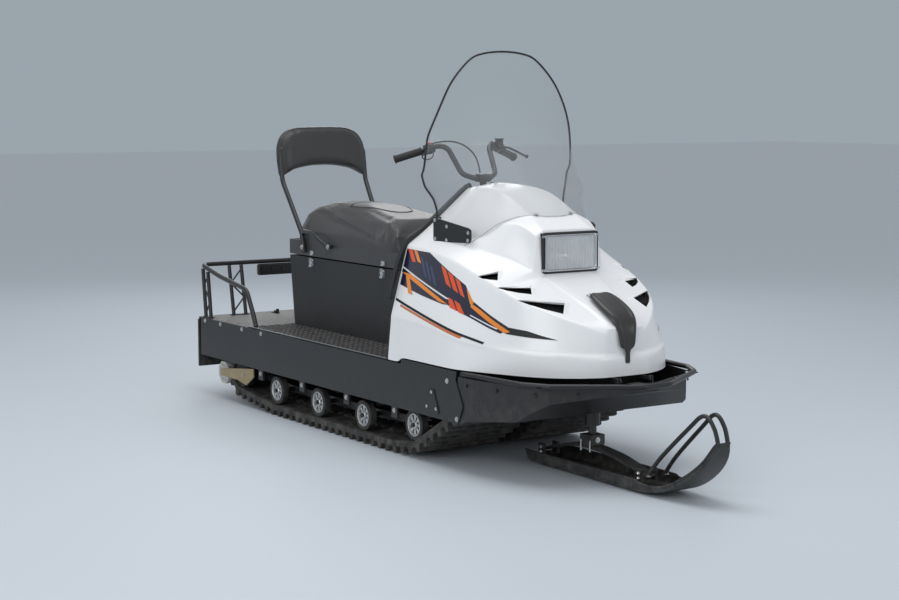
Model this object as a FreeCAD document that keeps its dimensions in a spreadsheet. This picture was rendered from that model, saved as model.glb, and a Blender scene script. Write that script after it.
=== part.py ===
"""Twin-track utility snowmobile with one central ski, as a parametric document.

Frame: +X forward, +Y to the rider's left, +Z up, in millimetres. The origin is on the ground,
in the middle of the machine's length and width.
"""
import FreeCAD, Part, Sketcher
import math
import os

Vector = FreeCAD.Vector
doc = FreeCAD.newDocument("snowmobile")

# ---------------------------------------------------------------- driving dimensions
# alias, millimetres (or a count, or degrees), what it measures
DIMENSIONS = [
    ("half_width", 455, "centre plane to the outer face of a side skirt"),
    ("gauge", 4, "sheet metal of deck and skirts"),
    ("deck_top", 377, "top of the deck over the tracks"),
    ("deck_rear", -1638, "rear edge of the deck"),
    ("deck_step", 240, "where deck and skirts step up under the hood"),
    ("step_rise", 20, "height of that step"),
    ("skirt_rear", -1610, "rear end of the side skirts"),
    ("skirt_foot", 197, "lower edge of the side skirts"),
    ("flap_foot", 135, "lower edge of the rear flap"),
    ("flap_top", 366, "upper edge of the rear flap"),
    ("flap_rear", -1650, "rear face of the flap"),
    ("beam_half", 45, "half the width of the centre beam"),
    ("track_inner", 57, "centre plane to the inner edge of a track"),
    ("track_outer", 437, "centre plane to the outer edge of a track"),
    ("lug_height", 25, "height of a track lug"),
    ("lug_count", 72, "lugs round one track"),
    ("band", 24, "thickness of the band with its inner guides"),
    ("wheel_radius", 64, "road wheel with its tyre"),
    ("rim_radius", 46, "alloy rim of a road wheel"),
    ("wheel_width", 34, "road wheel across its tread"),
    ("axle_radius", 10, "wheel axles"),
    ("box_half", 210, "half the width of the seat box"),
    ("box_rear", -1145, "rear upper edge of the seat box"),
    ("box_front", 110, "front end of the seat box"),
    ("box_top", 706, "upper edge of the seat box"),
    ("lid_front", -165, "front end of the seat lid"),
    ("seam", 6, "gap between seat box and lid"),
    ("cushion_half", 200, "half the width of the cushion"),
    ("backrest_tube", 11, "radius of the backrest tube"),
    ("pad_thick", 62, "thickness of the backrest pad"),
    ("pad_lean", 9, "degrees that the backrest leans back"),
    ("rack_tube", 11, "radius of the rack's rails"),
    ("rack_half", 438, "centre plane to a side rail"),
    ("rack_top", 632, "height of the rear rail"),
    ("hood_skin", 5, "thickness of the hood"),
    ("hood_foot", 384, "lower edge of the hood at its rear"),
    ("sheet", 4, "thickness of the windshield"),
    ("bar_radius", 11, "handlebar tube"),
    ("grip_radius", 15.5, "handlebar grips"),
    ("column_radius", 14, "steering column"),
    ("ski_axis", 900, "steering axis of the ski"),
    ("ski_half", 95, "half the width of the ski"),
    ("ski_top", 66, "upper edge of the ski's flanges"),
    ("pin_radius", 16, "ski spindle"),
    ("bumper_tube", 10, "radius of the front bumper tube"),
    ("bumper_height", 389, "height of the bumper tube's middle"),
    ("hitch_bore", 10, "radius of the tow pin's hole"),
]

sheet = doc.addObject("Spreadsheet::Sheet", "dims")
for row, (alias, value, meaning) in enumerate(DIMENSIONS, start=1):
    sheet.set("A%d" % row, alias)
    sheet.set("B%d" % row, str(value))
    sheet.set("C%d" % row, meaning)
    sheet.setAlias("B%d" % row, alias)
doc.recompute()


class Size:
    """A number together with the formula on the sheet that gives it."""

    def __init__(self, value, formula=None):
        self.value = float(value)
        self.formula = formula or repr(float(value))

    def combine(self, other, sign, swapped=False):
        other = as_size(other)
        left, right = (other, self) if swapped else (self, other)
        results = {"+": left.value + right.value, "-": left.value - right.value,
                   "*": left.value * right.value}
        return Size(results[sign], "(%s %s %s)" % (left.formula, sign, right.formula))

    def __add__(self, other):
        return self.combine(other, "+")

    def __radd__(self, other):
        return self.combine(other, "+", True)

    def __sub__(self, other):
        return self.combine(other, "-")

    def __rsub__(self, other):
        return self.combine(other, "-", True)

    def __mul__(self, other):
        return self.combine(other, "*")

    def __rmul__(self, other):
        return self.combine(other, "*", True)

    def __truediv__(self, divisor):
        return self.combine(1.0 / divisor, "*")

    def __neg__(self):
        return self.combine(-1.0, "*")

    def __float__(self):
        return self.value


def as_size(number):
    return number if isinstance(number, Size) else Size(number)


class Dimensions:
    """The sheet's cells as Size values: d.half_width and so on."""


d = Dimensions()
for alias, value, meaning in DIMENSIONS:
    setattr(d, alias, Size(sheet.get(alias), "dims." + alias))


# ---------------------------------------------------------------- ways of building
def bind(thing, prop, size):
    thing.setExpression(prop, as_size(size).formula)


def place(thing, x=0, y=0, z=0):
    """Put an object at a place whose three coordinates follow the sheet."""
    for axis, size in (("x", x), ("y", y), ("z", z)):
        bind(thing, "Placement.Base." + axis, size)
    return thing


def origin_plane(body, role):
    return [f for f in body.Origin.OriginFeatures if f.Role == role][0]


def outline(body, plane, corners, name="outline"):
    """A closed polygon whose corners are held to the sheet's sizes."""
    sketch = body.newObject("Sketcher::SketchObject", name)
    sketch.AttachmentSupport = [(origin_plane(body, plane + "_Plane"), "")]
    sketch.MapMode = "FlatFace"
    points = [Vector(float(a), float(b), 0) for a, b in corners]
    for i, point in enumerate(points):
        sketch.addGeometry(Part.LineSegment(point, points[(i + 1) % len(points)]), False)
    for i in range(len(points)):
        sketch.addConstraint(Sketcher.Constraint("Coincident", i, 2, (i + 1) % len(points), 1))
    for i, (a, b) in enumerate(corners):
        for kind, size in (("DistanceX", a), ("DistanceY", b)):
            size = as_size(size)
            index = sketch.addConstraint(Sketcher.Constraint(kind, -1, 1, i, 1, size.value))
            if "dims." in size.formula:
                sketch.setExpression("Constraints[%d]" % index, size.formula)
    return sketch


def prism(name, plane, corners, length):
    """A polygon on an origin plane, padded by half its length to each side."""
    body = doc.addObject("PartDesign::Body", name)
    pad = body.newObject("PartDesign::Pad", "pad")
    pad.Profile = outline(body, plane, corners)
    pad.SideType = "Symmetric"
    bind(pad, "Length", length)
    return body


def slab(name, low, high):
    """A box between two corners that follow the sheet."""
    thing = doc.addObject("Part::Box", name)
    for prop, a, b in zip(("Length", "Width", "Height"), low, high):
        bind(thing, prop, as_size(b) - a)
    return place(thing, *low)


def across(name, radius, x, y, z, length):
    """A cylinder along Y that starts at y."""
    thing = doc.addObject("Part::Cylinder", name)
    bind(thing, "Radius", radius)
    bind(thing, "Height", length)
    thing.Placement = FreeCAD.Placement(Vector(), FreeCAD.Rotation(Vector(1, 0, 0), -90))
    return place(thing, x, y, z)


def rod(name, start, end, radius):
    """A round bar from one point to another."""
    thing = doc.addObject("Part::Cylinder", name)
    start, end = Vector(*[float(c) for c in start]), Vector(*[float(c) for c in end])
    bind(thing, "Radius", radius)
    thing.Height = (end - start).Length
    turn = FreeCAD.Rotation(Vector(0, 0, 1), end - start)
    thing.Placement = FreeCAD.Placement(start, turn)
    return thing


def cut(name, base, tool):
    thing = doc.addObject("Part::Cut", name)
    thing.Base, thing.Tool = base, tool
    return thing


def common(name, first, second):
    thing = doc.addObject("Part::Common", name)
    thing.Base, thing.Tool = first, second
    return thing


def fuse(name, things):
    thing = doc.addObject("Part::MultiFuse", name)
    thing.Refine = False
    thing.Shapes = things
    return thing


def group(name, things):
    """Like pieces that don't touch, kept as separate solids of one node."""
    thing = doc.addObject("Part::Compound", name)
    thing.Links = things
    return thing


def feature(name, shape):
    thing = doc.addObject("Part::Feature", name)
    thing.Shape = shape
    return thing


def rounded_path(points, radii):
    """Straight runs joined by tangent arcs, one radius at each inner point."""
    points = [Vector(*[float(c) for c in p]) for p in points]
    edges, start = [], points[0]
    for before, corner, after, radius in zip(points, points[1:], points[2:], radii):
        back = (before - corner).normalize()
        ahead = (after - corner).normalize()
        half = back.getAngle(ahead) / 2
        reach = radius / math.tan(half)
        first, last = corner + back * reach, corner + ahead * reach
        middle_way = (back + ahead).normalize()
        middle = corner + middle_way * (radius / math.sin(half) - radius)
        edges.append(Part.LineSegment(start, first).toShape())
        edges.append(Part.Arc(first, middle, last).toShape())
        start = last
    edges.append(Part.LineSegment(start, points[-1]).toShape())
    return Part.Wire(edges)


def bent_tube(points, radii, radius):
    """A solid tube along straight runs and arcs."""
    path = rounded_path(points, radii)
    start = path.Edges[0].Vertexes[0].Point
    ring = Part.Wire([Part.makeCircle(float(radius), start, path.Edges[0].tangentAt(0))])
    return path.makePipeShell([ring], True, False, 2)


def mirrored(points):
    return [(x, -y, z) for x, y, z in points]


# ---------------------------------------------------------------- deck, skirts and beam
inner_face = d.half_width - d.gauge
floor_top = 410        # engine bay floor, raised over the drive sprockets
floor_front = 724
deck_line = [(d.deck_rear, d.deck_top), (d.deck_step, d.deck_top),
             (d.deck_step, d.deck_top + d.step_rise), (520, d.deck_top + d.step_rise),
             (560, floor_top), (floor_front - d.gauge, floor_top), (floor_front, 230)]
deck_underside = [(floor_front - d.gauge, 230), (floor_front - 2 * d.gauge, floor_top - d.gauge),
                  (561, floor_top - d.gauge), (521, d.deck_top + d.step_rise - d.gauge),
                  (d.deck_step + d.gauge, d.deck_top + d.step_rise - d.gauge),
                  (d.deck_step + d.gauge, d.deck_top - d.gauge),
                  (d.deck_rear + d.gauge, d.deck_top - d.gauge),
                  (d.deck_rear + d.gauge, d.deck_top - 45), (d.deck_rear, d.deck_top - 45)]
# the raised floor narrows towards the front with the hood above it
floor_plan = [(d.deck_rear, -inner_face), (466, -inner_face), (476, -434), (600, -428),
              (floor_front, -396), (floor_front, 396), (600, 428), (476, 434),
              (466, inner_face), (d.deck_rear, inner_face)]
deck_frame = common("deck_frame",
                    prism("deck_sheet", "XZ", deck_line + deck_underside, 2 * d.half_width),
                    prism("deck_plan", "XY", floor_plan, 1000))

beam_side = [(-1330, d.deck_top - d.gauge), (-1330, 190), (-1240, 110), (300, 110), (600, 262),
             (640, 262), (640, 390), (550, 390), (521, d.deck_top + d.step_rise - d.gauge),
             (d.deck_step + d.gauge, d.deck_top + d.step_rise - d.gauge),
             (d.deck_step + d.gauge, d.deck_top - d.gauge)]
centre_beam = prism("centre_beam", "XZ", beam_side, 2 * d.beam_half)

skirt_side = [(d.skirt_rear, d.deck_top + 2), (d.deck_step - 4, d.deck_top + 2),
              (d.deck_step + 4, d.deck_top + d.step_rise + 2), (641, d.deck_top + d.step_rise),
              (634, 365), (684, 268), (650, 190), (600, d.skirt_foot),
              (d.skirt_rear, d.skirt_foot)]
skirts = []
for side, sign in (("right", -1), ("left", 1)):
    skirt = prism("side_skirt_" + side, "XZ", skirt_side, d.gauge)
    skirts.append(place(skirt, 0, sign * (d.half_width - d.gauge / 2), 0))

footboards = group("footboards", [
    slab("footboard_right", (-1120, 4 - inner_face, d.deck_top),
         (118, -d.box_half - 3, d.deck_top + 6)),
    slab("footboard_left", (-1120, d.box_half + 3, d.deck_top),
         (118, inner_face - 4, d.deck_top + 6))])
rear_deck = slab("rear_deck", (d.deck_rear + 2, 2 - inner_face, d.deck_top),
                 (-1124, inner_face - 2, d.deck_top + 3))

flap_half = d.half_width - 3
notch_half, notch_top = 70, 262
flap_back = [(-flap_half, d.flap_top), (-flap_half, d.flap_foot), (-notch_half, d.flap_foot),
             (-notch_half, notch_top), (notch_half, notch_top), (notch_half, d.flap_foot),
             (flap_half, d.flap_foot), (flap_half, d.flap_top)]
flap_thick = d.deck_rear - d.flap_rear
flap_middle = d.flap_rear + flap_thick / 2
rear_flap = place(prism("rear_flap", "YZ", flap_back, flap_thick), flap_middle, 0, 0)

hitch_low, hitch_high, hitch_pin = 226, 242, -1622
tongue = slab("hitch_tongue", (d.flap_rear + 2, -32, hitch_low), (-1330, 32, hitch_high))
tow_pin = doc.addObject("Part::Cylinder", "tow_pin_hole")
bind(tow_pin, "Radius", d.hitch_bore)
tow_pin.Height = 60
place(tow_pin, hitch_pin, 0, hitch_low - 20)
tow_hitch = cut("tow_hitch", tongue, tow_pin)

# ---------------------------------------------------------------- belly pan and bumper
pan_top = 378
pan_skin = 5
pan_side = [(645, 187), (692, 211), (960, 244), (1065, 318), (1165, 345), (1165, pan_top),
            (645, pan_top)]
pan_plan = [(645, -451), (740, -446), (985, -394), (1060, -330), (1158, -110), (1158, 110),
            (1060, 330), (985, 394), (740, 446), (645, 451)]
hollow_side = [(600, 192), (691, 216), (957, 249), (1062, 323), (1160, 350), (1160, 460),
               (600, 460)]
hollow_plan = [(600, -446), (645, -446), (740, -441), (982, -389), (1056, -327), (1153, -108),
               (1153, 108), (1056, 327), (982, 389), (740, 441), (645, 446), (600, 446)]
pan_block = common("pan_block", prism("pan_profile", "XZ", pan_side, 2 * d.half_width),
                   prism("pan_outline", "XY", pan_plan, 900))
pan_hollow = common("pan_hollow", prism("hollow_profile", "XZ", hollow_side, 2 * d.half_width),
                    prism("hollow_outline", "XY", hollow_plan, 1000))
spindle_hole = doc.addObject("Part::Cylinder", "spindle_hole")
spindle_hole.Radius = 29
spindle_hole.Height = 90
place(spindle_hole, d.ski_axis, 0, 200)
belly_pan = cut("belly_pan", cut("open_pan", pan_block, pan_hollow), spindle_hole)

bumper_bend = 55
bumper_line = [(660, 441), (985, 404), (1090, 345), (1280, 60), (1280, -60), (1090, -345),
               (985, -404), (660, -441)]
bumper_path = [(x, y, d.bumper_height) for x, y in bumper_line]
bumper_shape = bent_tube(bumper_path, [bumper_bend] * 6, d.bumper_tube)
bumper_pieces = [feature("bumper_tube_run", bumper_shape)]
for x, y in ((1010, 375), (1120, 215)):
    for sign in (-1, 1):
        gusset = slab("gusset", (x, sign * y - 4, pan_top), (x + 62, sign * y + 4, pan_top + 4))
        bumper_pieces.append(gusset)
bumper_pieces.append(slab("front_stay", (1140, -30, pan_top), (1276, 30, pan_top + 4)))
front_bumper = fuse("front_bumper", bumper_pieces)

engine_block = slab("engine_block", (430, -190, floor_top), (floor_front - 24, 190, 690))


# ---------------------------------------------------------------- tracks and running gear
# circles that the outer face of the band runs round: x, z, radius, from the rear idler forward
LOOP = [("idler", -1232, 150, 90), ("first wheel", -887, 114, 89), ("slide", 120, 114, 89),
        ("last wheel", 284, 134, 89), ("sprocket", 616, 300, 72)]


def loop_tangents():
    """For each span of the band: where it leaves one circle and meets the next."""
    spans = []
    for i, (_, ax, az, ar) in enumerate(LOOP):
        _, bx, bz, br = LOOP[(i + 1) % len(LOOP)]
        distance = math.hypot(bx - ax, bz - az)
        heading = math.atan2(bz - az, bx - ax) - math.asin((br - ar) / distance)
        out = (math.sin(heading), -math.cos(heading))
        spans.append(((ax + ar * out[0], az + ar * out[1]), (bx + br * out[0], bz + br * out[1])))
    return spans


def walk_loop():
    """Straight and round stretches of the band: (kind, length, start or centre, angle, radius)."""
    spans = loop_tangents()
    stretches = []
    for i, (start, end) in enumerate(spans):
        length = math.dist(start, end)
        heading = math.atan2(end[1] - start[1], end[0] - start[0])
        stretches.append(("run", length, start, heading, 0))
        _, cx, cz, radius = LOOP[(i + 1) % len(LOOP)]
        following = spans[(i + 1) % len(spans)]
        next_heading = math.atan2(following[1][1] - following[0][1],
                                  following[1][0] - following[0][0])
        turn = (next_heading - heading) % (2 * math.pi)
        stretches.append(("arc", turn * radius, (cx, cz), heading, radius))
    return stretches


def loop_point(stretches, distance, lift):
    """The point at a distance along the band, moved outward by lift."""
    for kind, length, place_2d, heading, radius in stretches:
        if distance <= length:
            break
        distance -= length
    if kind == "run":
        out = (math.sin(heading), -math.cos(heading))
        along = (math.cos(heading), math.sin(heading))
        return (place_2d[0] + along[0] * distance + out[0] * lift,
                place_2d[1] + along[1] * distance + out[1] * lift)
    angle = heading + distance / radius
    return (place_2d[0] + math.sin(angle) * (radius + lift),
            place_2d[1] - math.cos(angle) * (radius + lift))


def track_shape(start, end):
    """One fixed loop with its lugs in the outline, from y = start to y = end."""
    stretches = walk_loop()
    total = sum(s[1] for s in stretches)
    pitch = total / float(d.lug_count)
    # share of the pitch, lift: root, flank, crest, flank
    lug_shape = [(0.0, 0), (0.36, 0), (0.5, 1), (0.78, 1), (0.92, 0)]
    outer, inner = [], []
    for i in range(int(float(d.lug_count))):
        for share, lift in lug_shape:
            x, z = loop_point(stretches, (i + share) * pitch, lift * float(d.lug_height))
            outer.append(Vector(x, start, z))
        for share in (0.0, 0.5):
            x, z = loop_point(stretches, (i + share) * pitch, -float(d.band))
            inner.append(Vector(x, start, z))
    width = Vector(0, end - start, 0)
    loop, hollow = [Part.Face(Part.makePolygon(ring + ring[:1])).extrude(width)
                    for ring in (outer, inner)]
    return loop.cut(hollow)


track_right = feature("track_right", track_shape(-float(d.track_outer), -float(d.track_inner)))
track_left = feature("track_left", track_shape(float(d.track_inner), float(d.track_outer)))

# road wheels and rear idlers: x, z; each pair sits at the two edges of its track
ROAD_WHEELS = [(-887, 114), (-504, 114), (-117, 114), (284, 134)]
IDLER = (-1232, 150)
outer_row = d.track_outer - 12 - d.wheel_width
inner_row = d.track_inner + 12


def wheel(name, x, y, z):
    """A tyred wheel with a dished rim: a turned section with five windows round its hub."""
    body = doc.addObject("PartDesign::Body", name)
    section = [(d.axle_radius, 0), (d.axle_radius + 10, 0), (d.axle_radius + 14, 9),
               (d.rim_radius - 6, 9), (d.rim_radius - 2, 0), (d.wheel_radius, 2),
               (d.wheel_radius, d.wheel_width - 2), (d.rim_radius - 2, d.wheel_width),
               (d.rim_radius - 6, d.wheel_width - 9), (d.axle_radius + 14, d.wheel_width - 9),
               (d.axle_radius + 10, d.wheel_width), (d.axle_radius, d.wheel_width)]
    turned = body.newObject("PartDesign::Revolution", "turned")
    profile = outline(body, "XY", section)
    turned.Profile = profile
    turned.ReferenceAxis = (profile, ["V_Axis"])
    turned.Angle = 360
    window = body.newObject("PartDesign::Pocket", "window")
    spoke_gap = [(d.axle_radius + 16, -5), (d.rim_radius - 9, -8), (d.rim_radius - 9, 8),
                 (d.axle_radius + 16, 5)]
    window.Profile = outline(body, "XZ", spoke_gap, "spoke_gap")
    window.Type = "ThroughAll"
    window.SideType = "Symmetric"
    windows = body.newObject("PartDesign::PolarPattern", "windows")
    windows.Originals = [window]
    windows.Axis = (origin_plane(body, "Y_Axis"), [""])
    windows.Angle = 360
    windows.Occurrences = 5
    body.Tip = windows
    return place(body, x, y, z)


wheels = []
for x, z in ROAD_WHEELS:
    for y in (-d.track_outer + 12, -inner_row - d.wheel_width, inner_row, outer_row):
        wheels.append(wheel("road_wheel", x, y, z))
road_wheels = group("road_wheels", wheels)

idlers = []
for y in (-d.track_outer + 12, -inner_row - d.wheel_width, inner_row, outer_row):
    rim = across("idler_rim", 65, IDLER[0], y, IDLER[1], d.wheel_width)
    idlers.append(cut("idler", rim, across("idler_bore", d.axle_radius, IDLER[0], y - 1, IDLER[1],
                                           d.wheel_width + 2)))
rear_idlers = group("rear_idlers", idlers)

sprocket_radius = 46
sprocket_x, sprocket_z = 616, 300
half_axles = []
for sign in (-1, 1):
    pieces = []
    for y in (130, 330):
        start = sign * y - 20
        pieces.append(across("sprocket", sprocket_radius, sprocket_x, start, sprocket_z, 40))
    start = d.beam_half if sign > 0 else -d.track_outer + 8
    pieces.append(across("half_axle", 16, sprocket_x, start, sprocket_z,
                         d.track_outer - 8 - d.beam_half))
    half_axles.append(fuse("half_axle_with_sprockets", pieces))
drive_axles = group("drive_axles", half_axles)

# one carrier inside each track: two rails, an axle through each wheel pair, four hangers
HANGERS = (-990, -598, -207, 181)
carriers = []
for sign in (-1, 1):
    pieces = []
    for y in (150, 340):
        line = [(IDLER[0] - 20, IDLER[1] - 14), (-900, 100), (-100, 100), (300, 118), (300, 150),
                (-100, 132), (-900, 132), (IDLER[0] - 20, IDLER[1] + 18)]
        pieces.append(place(prism("rail", "XZ", line, 8), 0, sign * y, 0))
    inboard = d.beam_half if sign > 0 else -d.track_outer + 6
    for x, z in ROAD_WHEELS + [IDLER]:
        pieces.append(across("axle", d.axle_radius, x, inboard, z, d.track_outer - 6 - d.beam_half))
    for x in HANGERS:
        pieces.append(slab("cross_bar", (x - 10, sign * 245 - 99, 108),
                           (x + 10, sign * 245 + 99, 128)))
    carriers.append(fuse("carrier", pieces))
track_carriers = group("track_carriers", carriers)

# hanger brackets under the skirts, drawn down from the deck edge outside the tracks
brackets = []
for x in HANGERS:
    for sign in (-1, 1):
        y = sign * (inner_face - 5)
        brackets.append(slab("hanger", (x - 22, y - 5, 150), (x + 22, y + 5, d.deck_top - d.gauge)))
hanger_brackets = group("hanger_brackets", brackets)

octagon_half = 52
roller_x, roller_z = -1402, 133
corner = octagon_half * math.tan(math.radians(22.5))
octagon = [(octagon_half, corner), (corner, octagon_half), (-corner, octagon_half),
           (-octagon_half, corner), (-octagon_half, -corner), (-corner, -octagon_half),
           (corner, -octagon_half), (octagon_half, -corner)]
rollers, arms = [], []
for sign in (-1, 1):
    roller = prism("roller", "XZ", octagon, 46)
    rollers.append(place(roller, roller_x, sign * 414, roller_z))
    arm_line = [(roller_x - 20, 118), (roller_x - 20, 150), (-1240, 172), (-1075, 190),
                (-1075, 150), (-1150, 104), (-1240, 118)]
    arms.append(place(prism("arm", "XZ", arm_line, 6), 0, sign * 442, 0))
tail_rollers = group("tail_rollers", rollers)
tension_arms = group("tension_arms", arms)

# ---------------------------------------------------------------- cargo rack
rack_line = [(-1056, -d.rack_half, d.deck_top + 11), (-1082, -d.rack_half, 440),
             (-1150, -d.rack_half, 552), (-1420, -d.rack_half, 590),
             (-1628, -d.rack_half, d.rack_top)]
rack_rail = feature("rack_rail", bent_tube(
    rack_line + mirrored(rack_line[::-1]), [60, 60, 200, 40, 40, 200, 60, 60], d.rack_tube))

post_radius = 9
brace_radius = 4
trusses = []


def truss(top_a, foot_a, top_b, foot_b):
    """Two posts with a zigzag of thin rod between them."""
    pairs = ((foot_a, top_a), (foot_b, top_b))
    ends = [[Vector(*[float(c) for c in p]) for p in pair] for pair in pairs]
    pieces = [rod("post", foot, top, post_radius) for foot, top in ends]
    for step in range(3):
        low, high = ends[step % 2], ends[(step + 1) % 2]
        start = low[0] + (low[1] - low[0]) * (0.06 + 0.29 * step)
        end = high[0] + (high[1] - high[0]) * (0.06 + 0.29 * (step + 1))
        pieces.append(rod("brace", start, end, brace_radius))
    return fuse("truss", pieces)


deck_face = float(d.deck_top) + 5
rail_under = float(d.rack_top) - 12
for sign in (-1, 1):
    side = sign * float(d.rack_half)
    trusses.append(truss((-1612, side, rail_under - 6), (-1585, side, deck_face),
                         (-1558, side, rail_under - 18), (-1530, side, deck_face)))
    trusses.append(truss((-1628, sign * 290, rail_under), (-1582, sign * 290, deck_face),
                         (-1628, sign * 225, rail_under), (-1582, sign * 225, deck_face)))
rack_posts = group("rack_posts", trusses)
tail_lamp = slab("tail_lamp", (-1634, -143, 566), (-1596, 143, d.rack_top - d.rack_tube))

# ---------------------------------------------------------------- seat box and lid
box_wall = 4
box_rear_foot = d.box_rear + 42
box_side = [(box_rear_foot, d.deck_top), (d.box_rear, d.box_top), (d.box_front, d.box_top),
            (d.box_front, d.deck_top)]
box_block = prism("box_block", "XZ", box_side, 2 * d.box_half)
trunk = slab("trunk", (box_rear_foot + 8, box_wall - d.box_half, d.deck_top + box_wall),
             (d.lid_front - 16, d.box_half - box_wall, d.box_top + 60))
front_hollow = slab("front_hollow", (d.lid_front - 8, box_wall - d.box_half, d.deck_top + 8),
                    (d.box_front + 10, d.box_half - box_wall, d.box_top - 6))
box_shell = cut("box_shell", cut("box_with_trunk", box_block, trunk), front_hollow)

# the lid hinges on a rolled steel hinge outside the box's left wall
hinge_y, hinge_z, knuckle_radius, hinge_pin = 217, 709, 5, 2.5


def along(name, x0, x1, y, z, radius):
    """A round bar lying along X."""
    return rod(name, Vector(x0, y, z), Vector(x1, y, z), radius)


box_parts, lid_parts = [box_shell], []
for x in (-1000, -650, -300):
    barrel = cut("knuckle", along("barrel", x - 40, x + 40, hinge_y, hinge_z, knuckle_radius),
                 along("barrel_bore", x - 50, x + 50, hinge_y, hinge_z, hinge_pin + 0.2))
    box_parts.append(barrel)
    box_parts.append(slab("box_leaf", (x - 40, d.box_half, 672),
                          (x + 40, d.box_half + 2.5, hinge_z - 7)))
    lid_parts.append(along("hinge_pin", x - 78, x + 78, hinge_y, hinge_z, hinge_pin))
    for start in (x - 76, x + 44):
        lid_parts.append(slab("lid_leaf", (start, d.box_half - 2, hinge_z + 4),
                              (start + 32, hinge_y + 3, hinge_z + 7)))
seat_box = group("seat_box", box_parts)

lid_low = d.box_top + d.seam
lid_half = d.box_half - 2
lid_block = slab("lid_block", (d.box_rear - 6, -lid_half, lid_low), (d.lid_front, lid_half, 780))
lid_hollow = slab("lid_hollow", (d.box_rear + 2, 7 - lid_half, lid_low + 10),
                  (d.lid_front - 8, lid_half - 7, 800))
seat_base = group("seat_base", [cut("lid_shell", lid_block, lid_hollow), *lid_parts])

cushion_side = [(-1142, 723), (-1118, 765), (-1088, 822), (-1060, 880), (-1050, 925), (-1030, 948),
                (-900, 957), (-650, 952), (-302, 907), (-205, 850), (-174, 765), (-174, 723)]
cushion_back = [(-d.cushion_half, 723), (-d.cushion_half, 850), (-d.cushion_half + 22, 905),
                (-d.cushion_half + 75, 945), (-d.cushion_half + 130, 960),
                (d.cushion_half - 130, 960), (d.cushion_half - 75, 945),
                (d.cushion_half - 22, 905), (d.cushion_half, 850), (d.cushion_half, 723)]
seat_cushion = common("seat_cushion", prism("cushion_profile", "XZ", cushion_side, 500),
                      place(prism("cushion_section", "YZ", cushion_back, 1200), -600, 0, 0))

latches = []
for x in (-941, -310):
    latches.append(slab("latch", (x - 16, -d.box_half - 12, 655), (x + 16, -d.box_half, d.box_top)))
seat_latches = group("seat_latches", latches)

leg_side = lid_half + d.backrest_tube
leg = [(-990, -leg_side, 728), (-1010, -leg_side, 812), (-1110, -leg_side, 940),
       (-1186, -leg_side - 6, 1050), (-1210, -leg_side - 6, 1215)]
frame_line = leg + mirrored(leg[::-1])
backrest_shape = bent_tube(frame_line, [60, 120, 100, 45, 45, 100, 120, 60], d.backrest_tube)
backrest_frame = feature("backrest_frame", backrest_shape)

# half of the pad's front view: y, height above its lower corners
pad_right = [(60, 41), (150, 22), (205, 6), (238, 0), (247, 40), (249, 110), (238, 170), (205, 215),
             (150, 237), (80, 245)]
pad_view = [(y, z) for y, z in pad_right] + [(-y, z) for y, z in pad_right[::-1]]
pad_block = prism("pad_block", "YZ", pad_view, d.pad_thick)
pad_block.Placement = FreeCAD.Placement(
    Vector(-1199, 0, 1067), FreeCAD.Rotation(Vector(0, 1, 0), -float(d.pad_lean)))
backrest_pad = cut("backrest_pad", pad_block, feature("frame_channel", backrest_shape))

handles = []
handle_radius = 9
for sign in (-1, 1):
    y = float(lid_half)
    line = [(-994, sign * (y + 14), 812), (-965, sign * (y + 30), 828),
            (-895, sign * (y + 32), 826), (-835, sign * (y + 30), 806),
            (-785, sign * (y + 9), 769), (-738, sign * (y + 9), 769)]
    handles.append(feature("handle", bent_tube(line, [24, 40, 40, 24], handle_radius)))
grab_handles = group("grab_handles", handles)

# ---------------------------------------------------------------- hood, lamp and windshield
# half sections of the hood, from the rear edge to the nose. Columns: x, crown height, then y and z
# of the crown's edge, dome foot, inner crease, outer ridge and waist, and y of the foot
HOOD_SECTIONS = [
    (140, 1076, 72, 1064, 200, 960, 290, 893, 363, 844, 440, 560, 455),
    (300, 1096, 100, 1080, 240, 945, 320, 878, 370, 835, 443, 556, 455),
    (480, 1070, 112, 1055, 232, 930, 300, 861, 368, 806, 443, 540, 455),
    (600, 1012, 110, 1000, 196, 950, 262, 835, 358, 772, 438, 520, 454),
    (652, 975, 105, 972, 172, 950, 222, 820, 352, 757, 425, 510, 443),
    (736, 928, 120, 927, 150, 905, 160, 775, 340, 729, 400, 505, 414),
    (750, 757, 100, 757, 125, 756, 139, 752, 338, 724, 395, 505, 409),
    (850, 713, 80, 713, 105, 711, 122, 706, 313, 682, 350, 500, 366),
    (960, 668, 70, 668, 90, 666, 103, 660, 245, 636, 292, 497, 309),
    (1050, 622, 55, 622, 75, 620, 86, 613, 152, 592, 200, 494, 217),
    (1097, 585, 40, 585, 60, 584, 80, 580, 84, 560, 90, 492, 96),
]


def hood_wire(section, inset, foot, shift):
    """One closed section of the hood, drawn in by an inset."""
    x, crown, *pairs = section
    points = [(0, crown - inset)]
    for i in range(0, 10, 2):
        points.append((pairs[i] - inset, pairs[i + 1] - inset))
    points.append((pairs[10] - inset, foot))
    half = [Vector(x + shift, -y, z) for y, z in points]
    other = [Vector(x + shift, y, z) for y, z in points[:0:-1]]
    return Part.makePolygon(half + other + half[:1])


def hood_solid(inset, foot):
    wires = []
    for section in HOOD_SECTIONS:
        at_rear = section[0] == HOOD_SECTIONS[0][0]
        shift = 0 if not inset else (-30 if at_rear else (0 if section[0] < 640 else -inset))
        wires.append(hood_wire(section, inset, foot, shift))
    return Part.makeLoft(wires, True, True)


def panel_prism(corners, depth):
    """A flat polygon thickened to both sides, to cut an opening in a sloping panel."""
    points = [Vector(*c) for c in corners]
    normal = (points[1] - points[0]).cross(points[2] - points[0]).normalize()
    lowered = [p - normal * depth for p in points]
    face = Part.Face(Part.makePolygon(lowered + lowered[:1]))
    return face.extrude(normal * 2 * depth)


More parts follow.
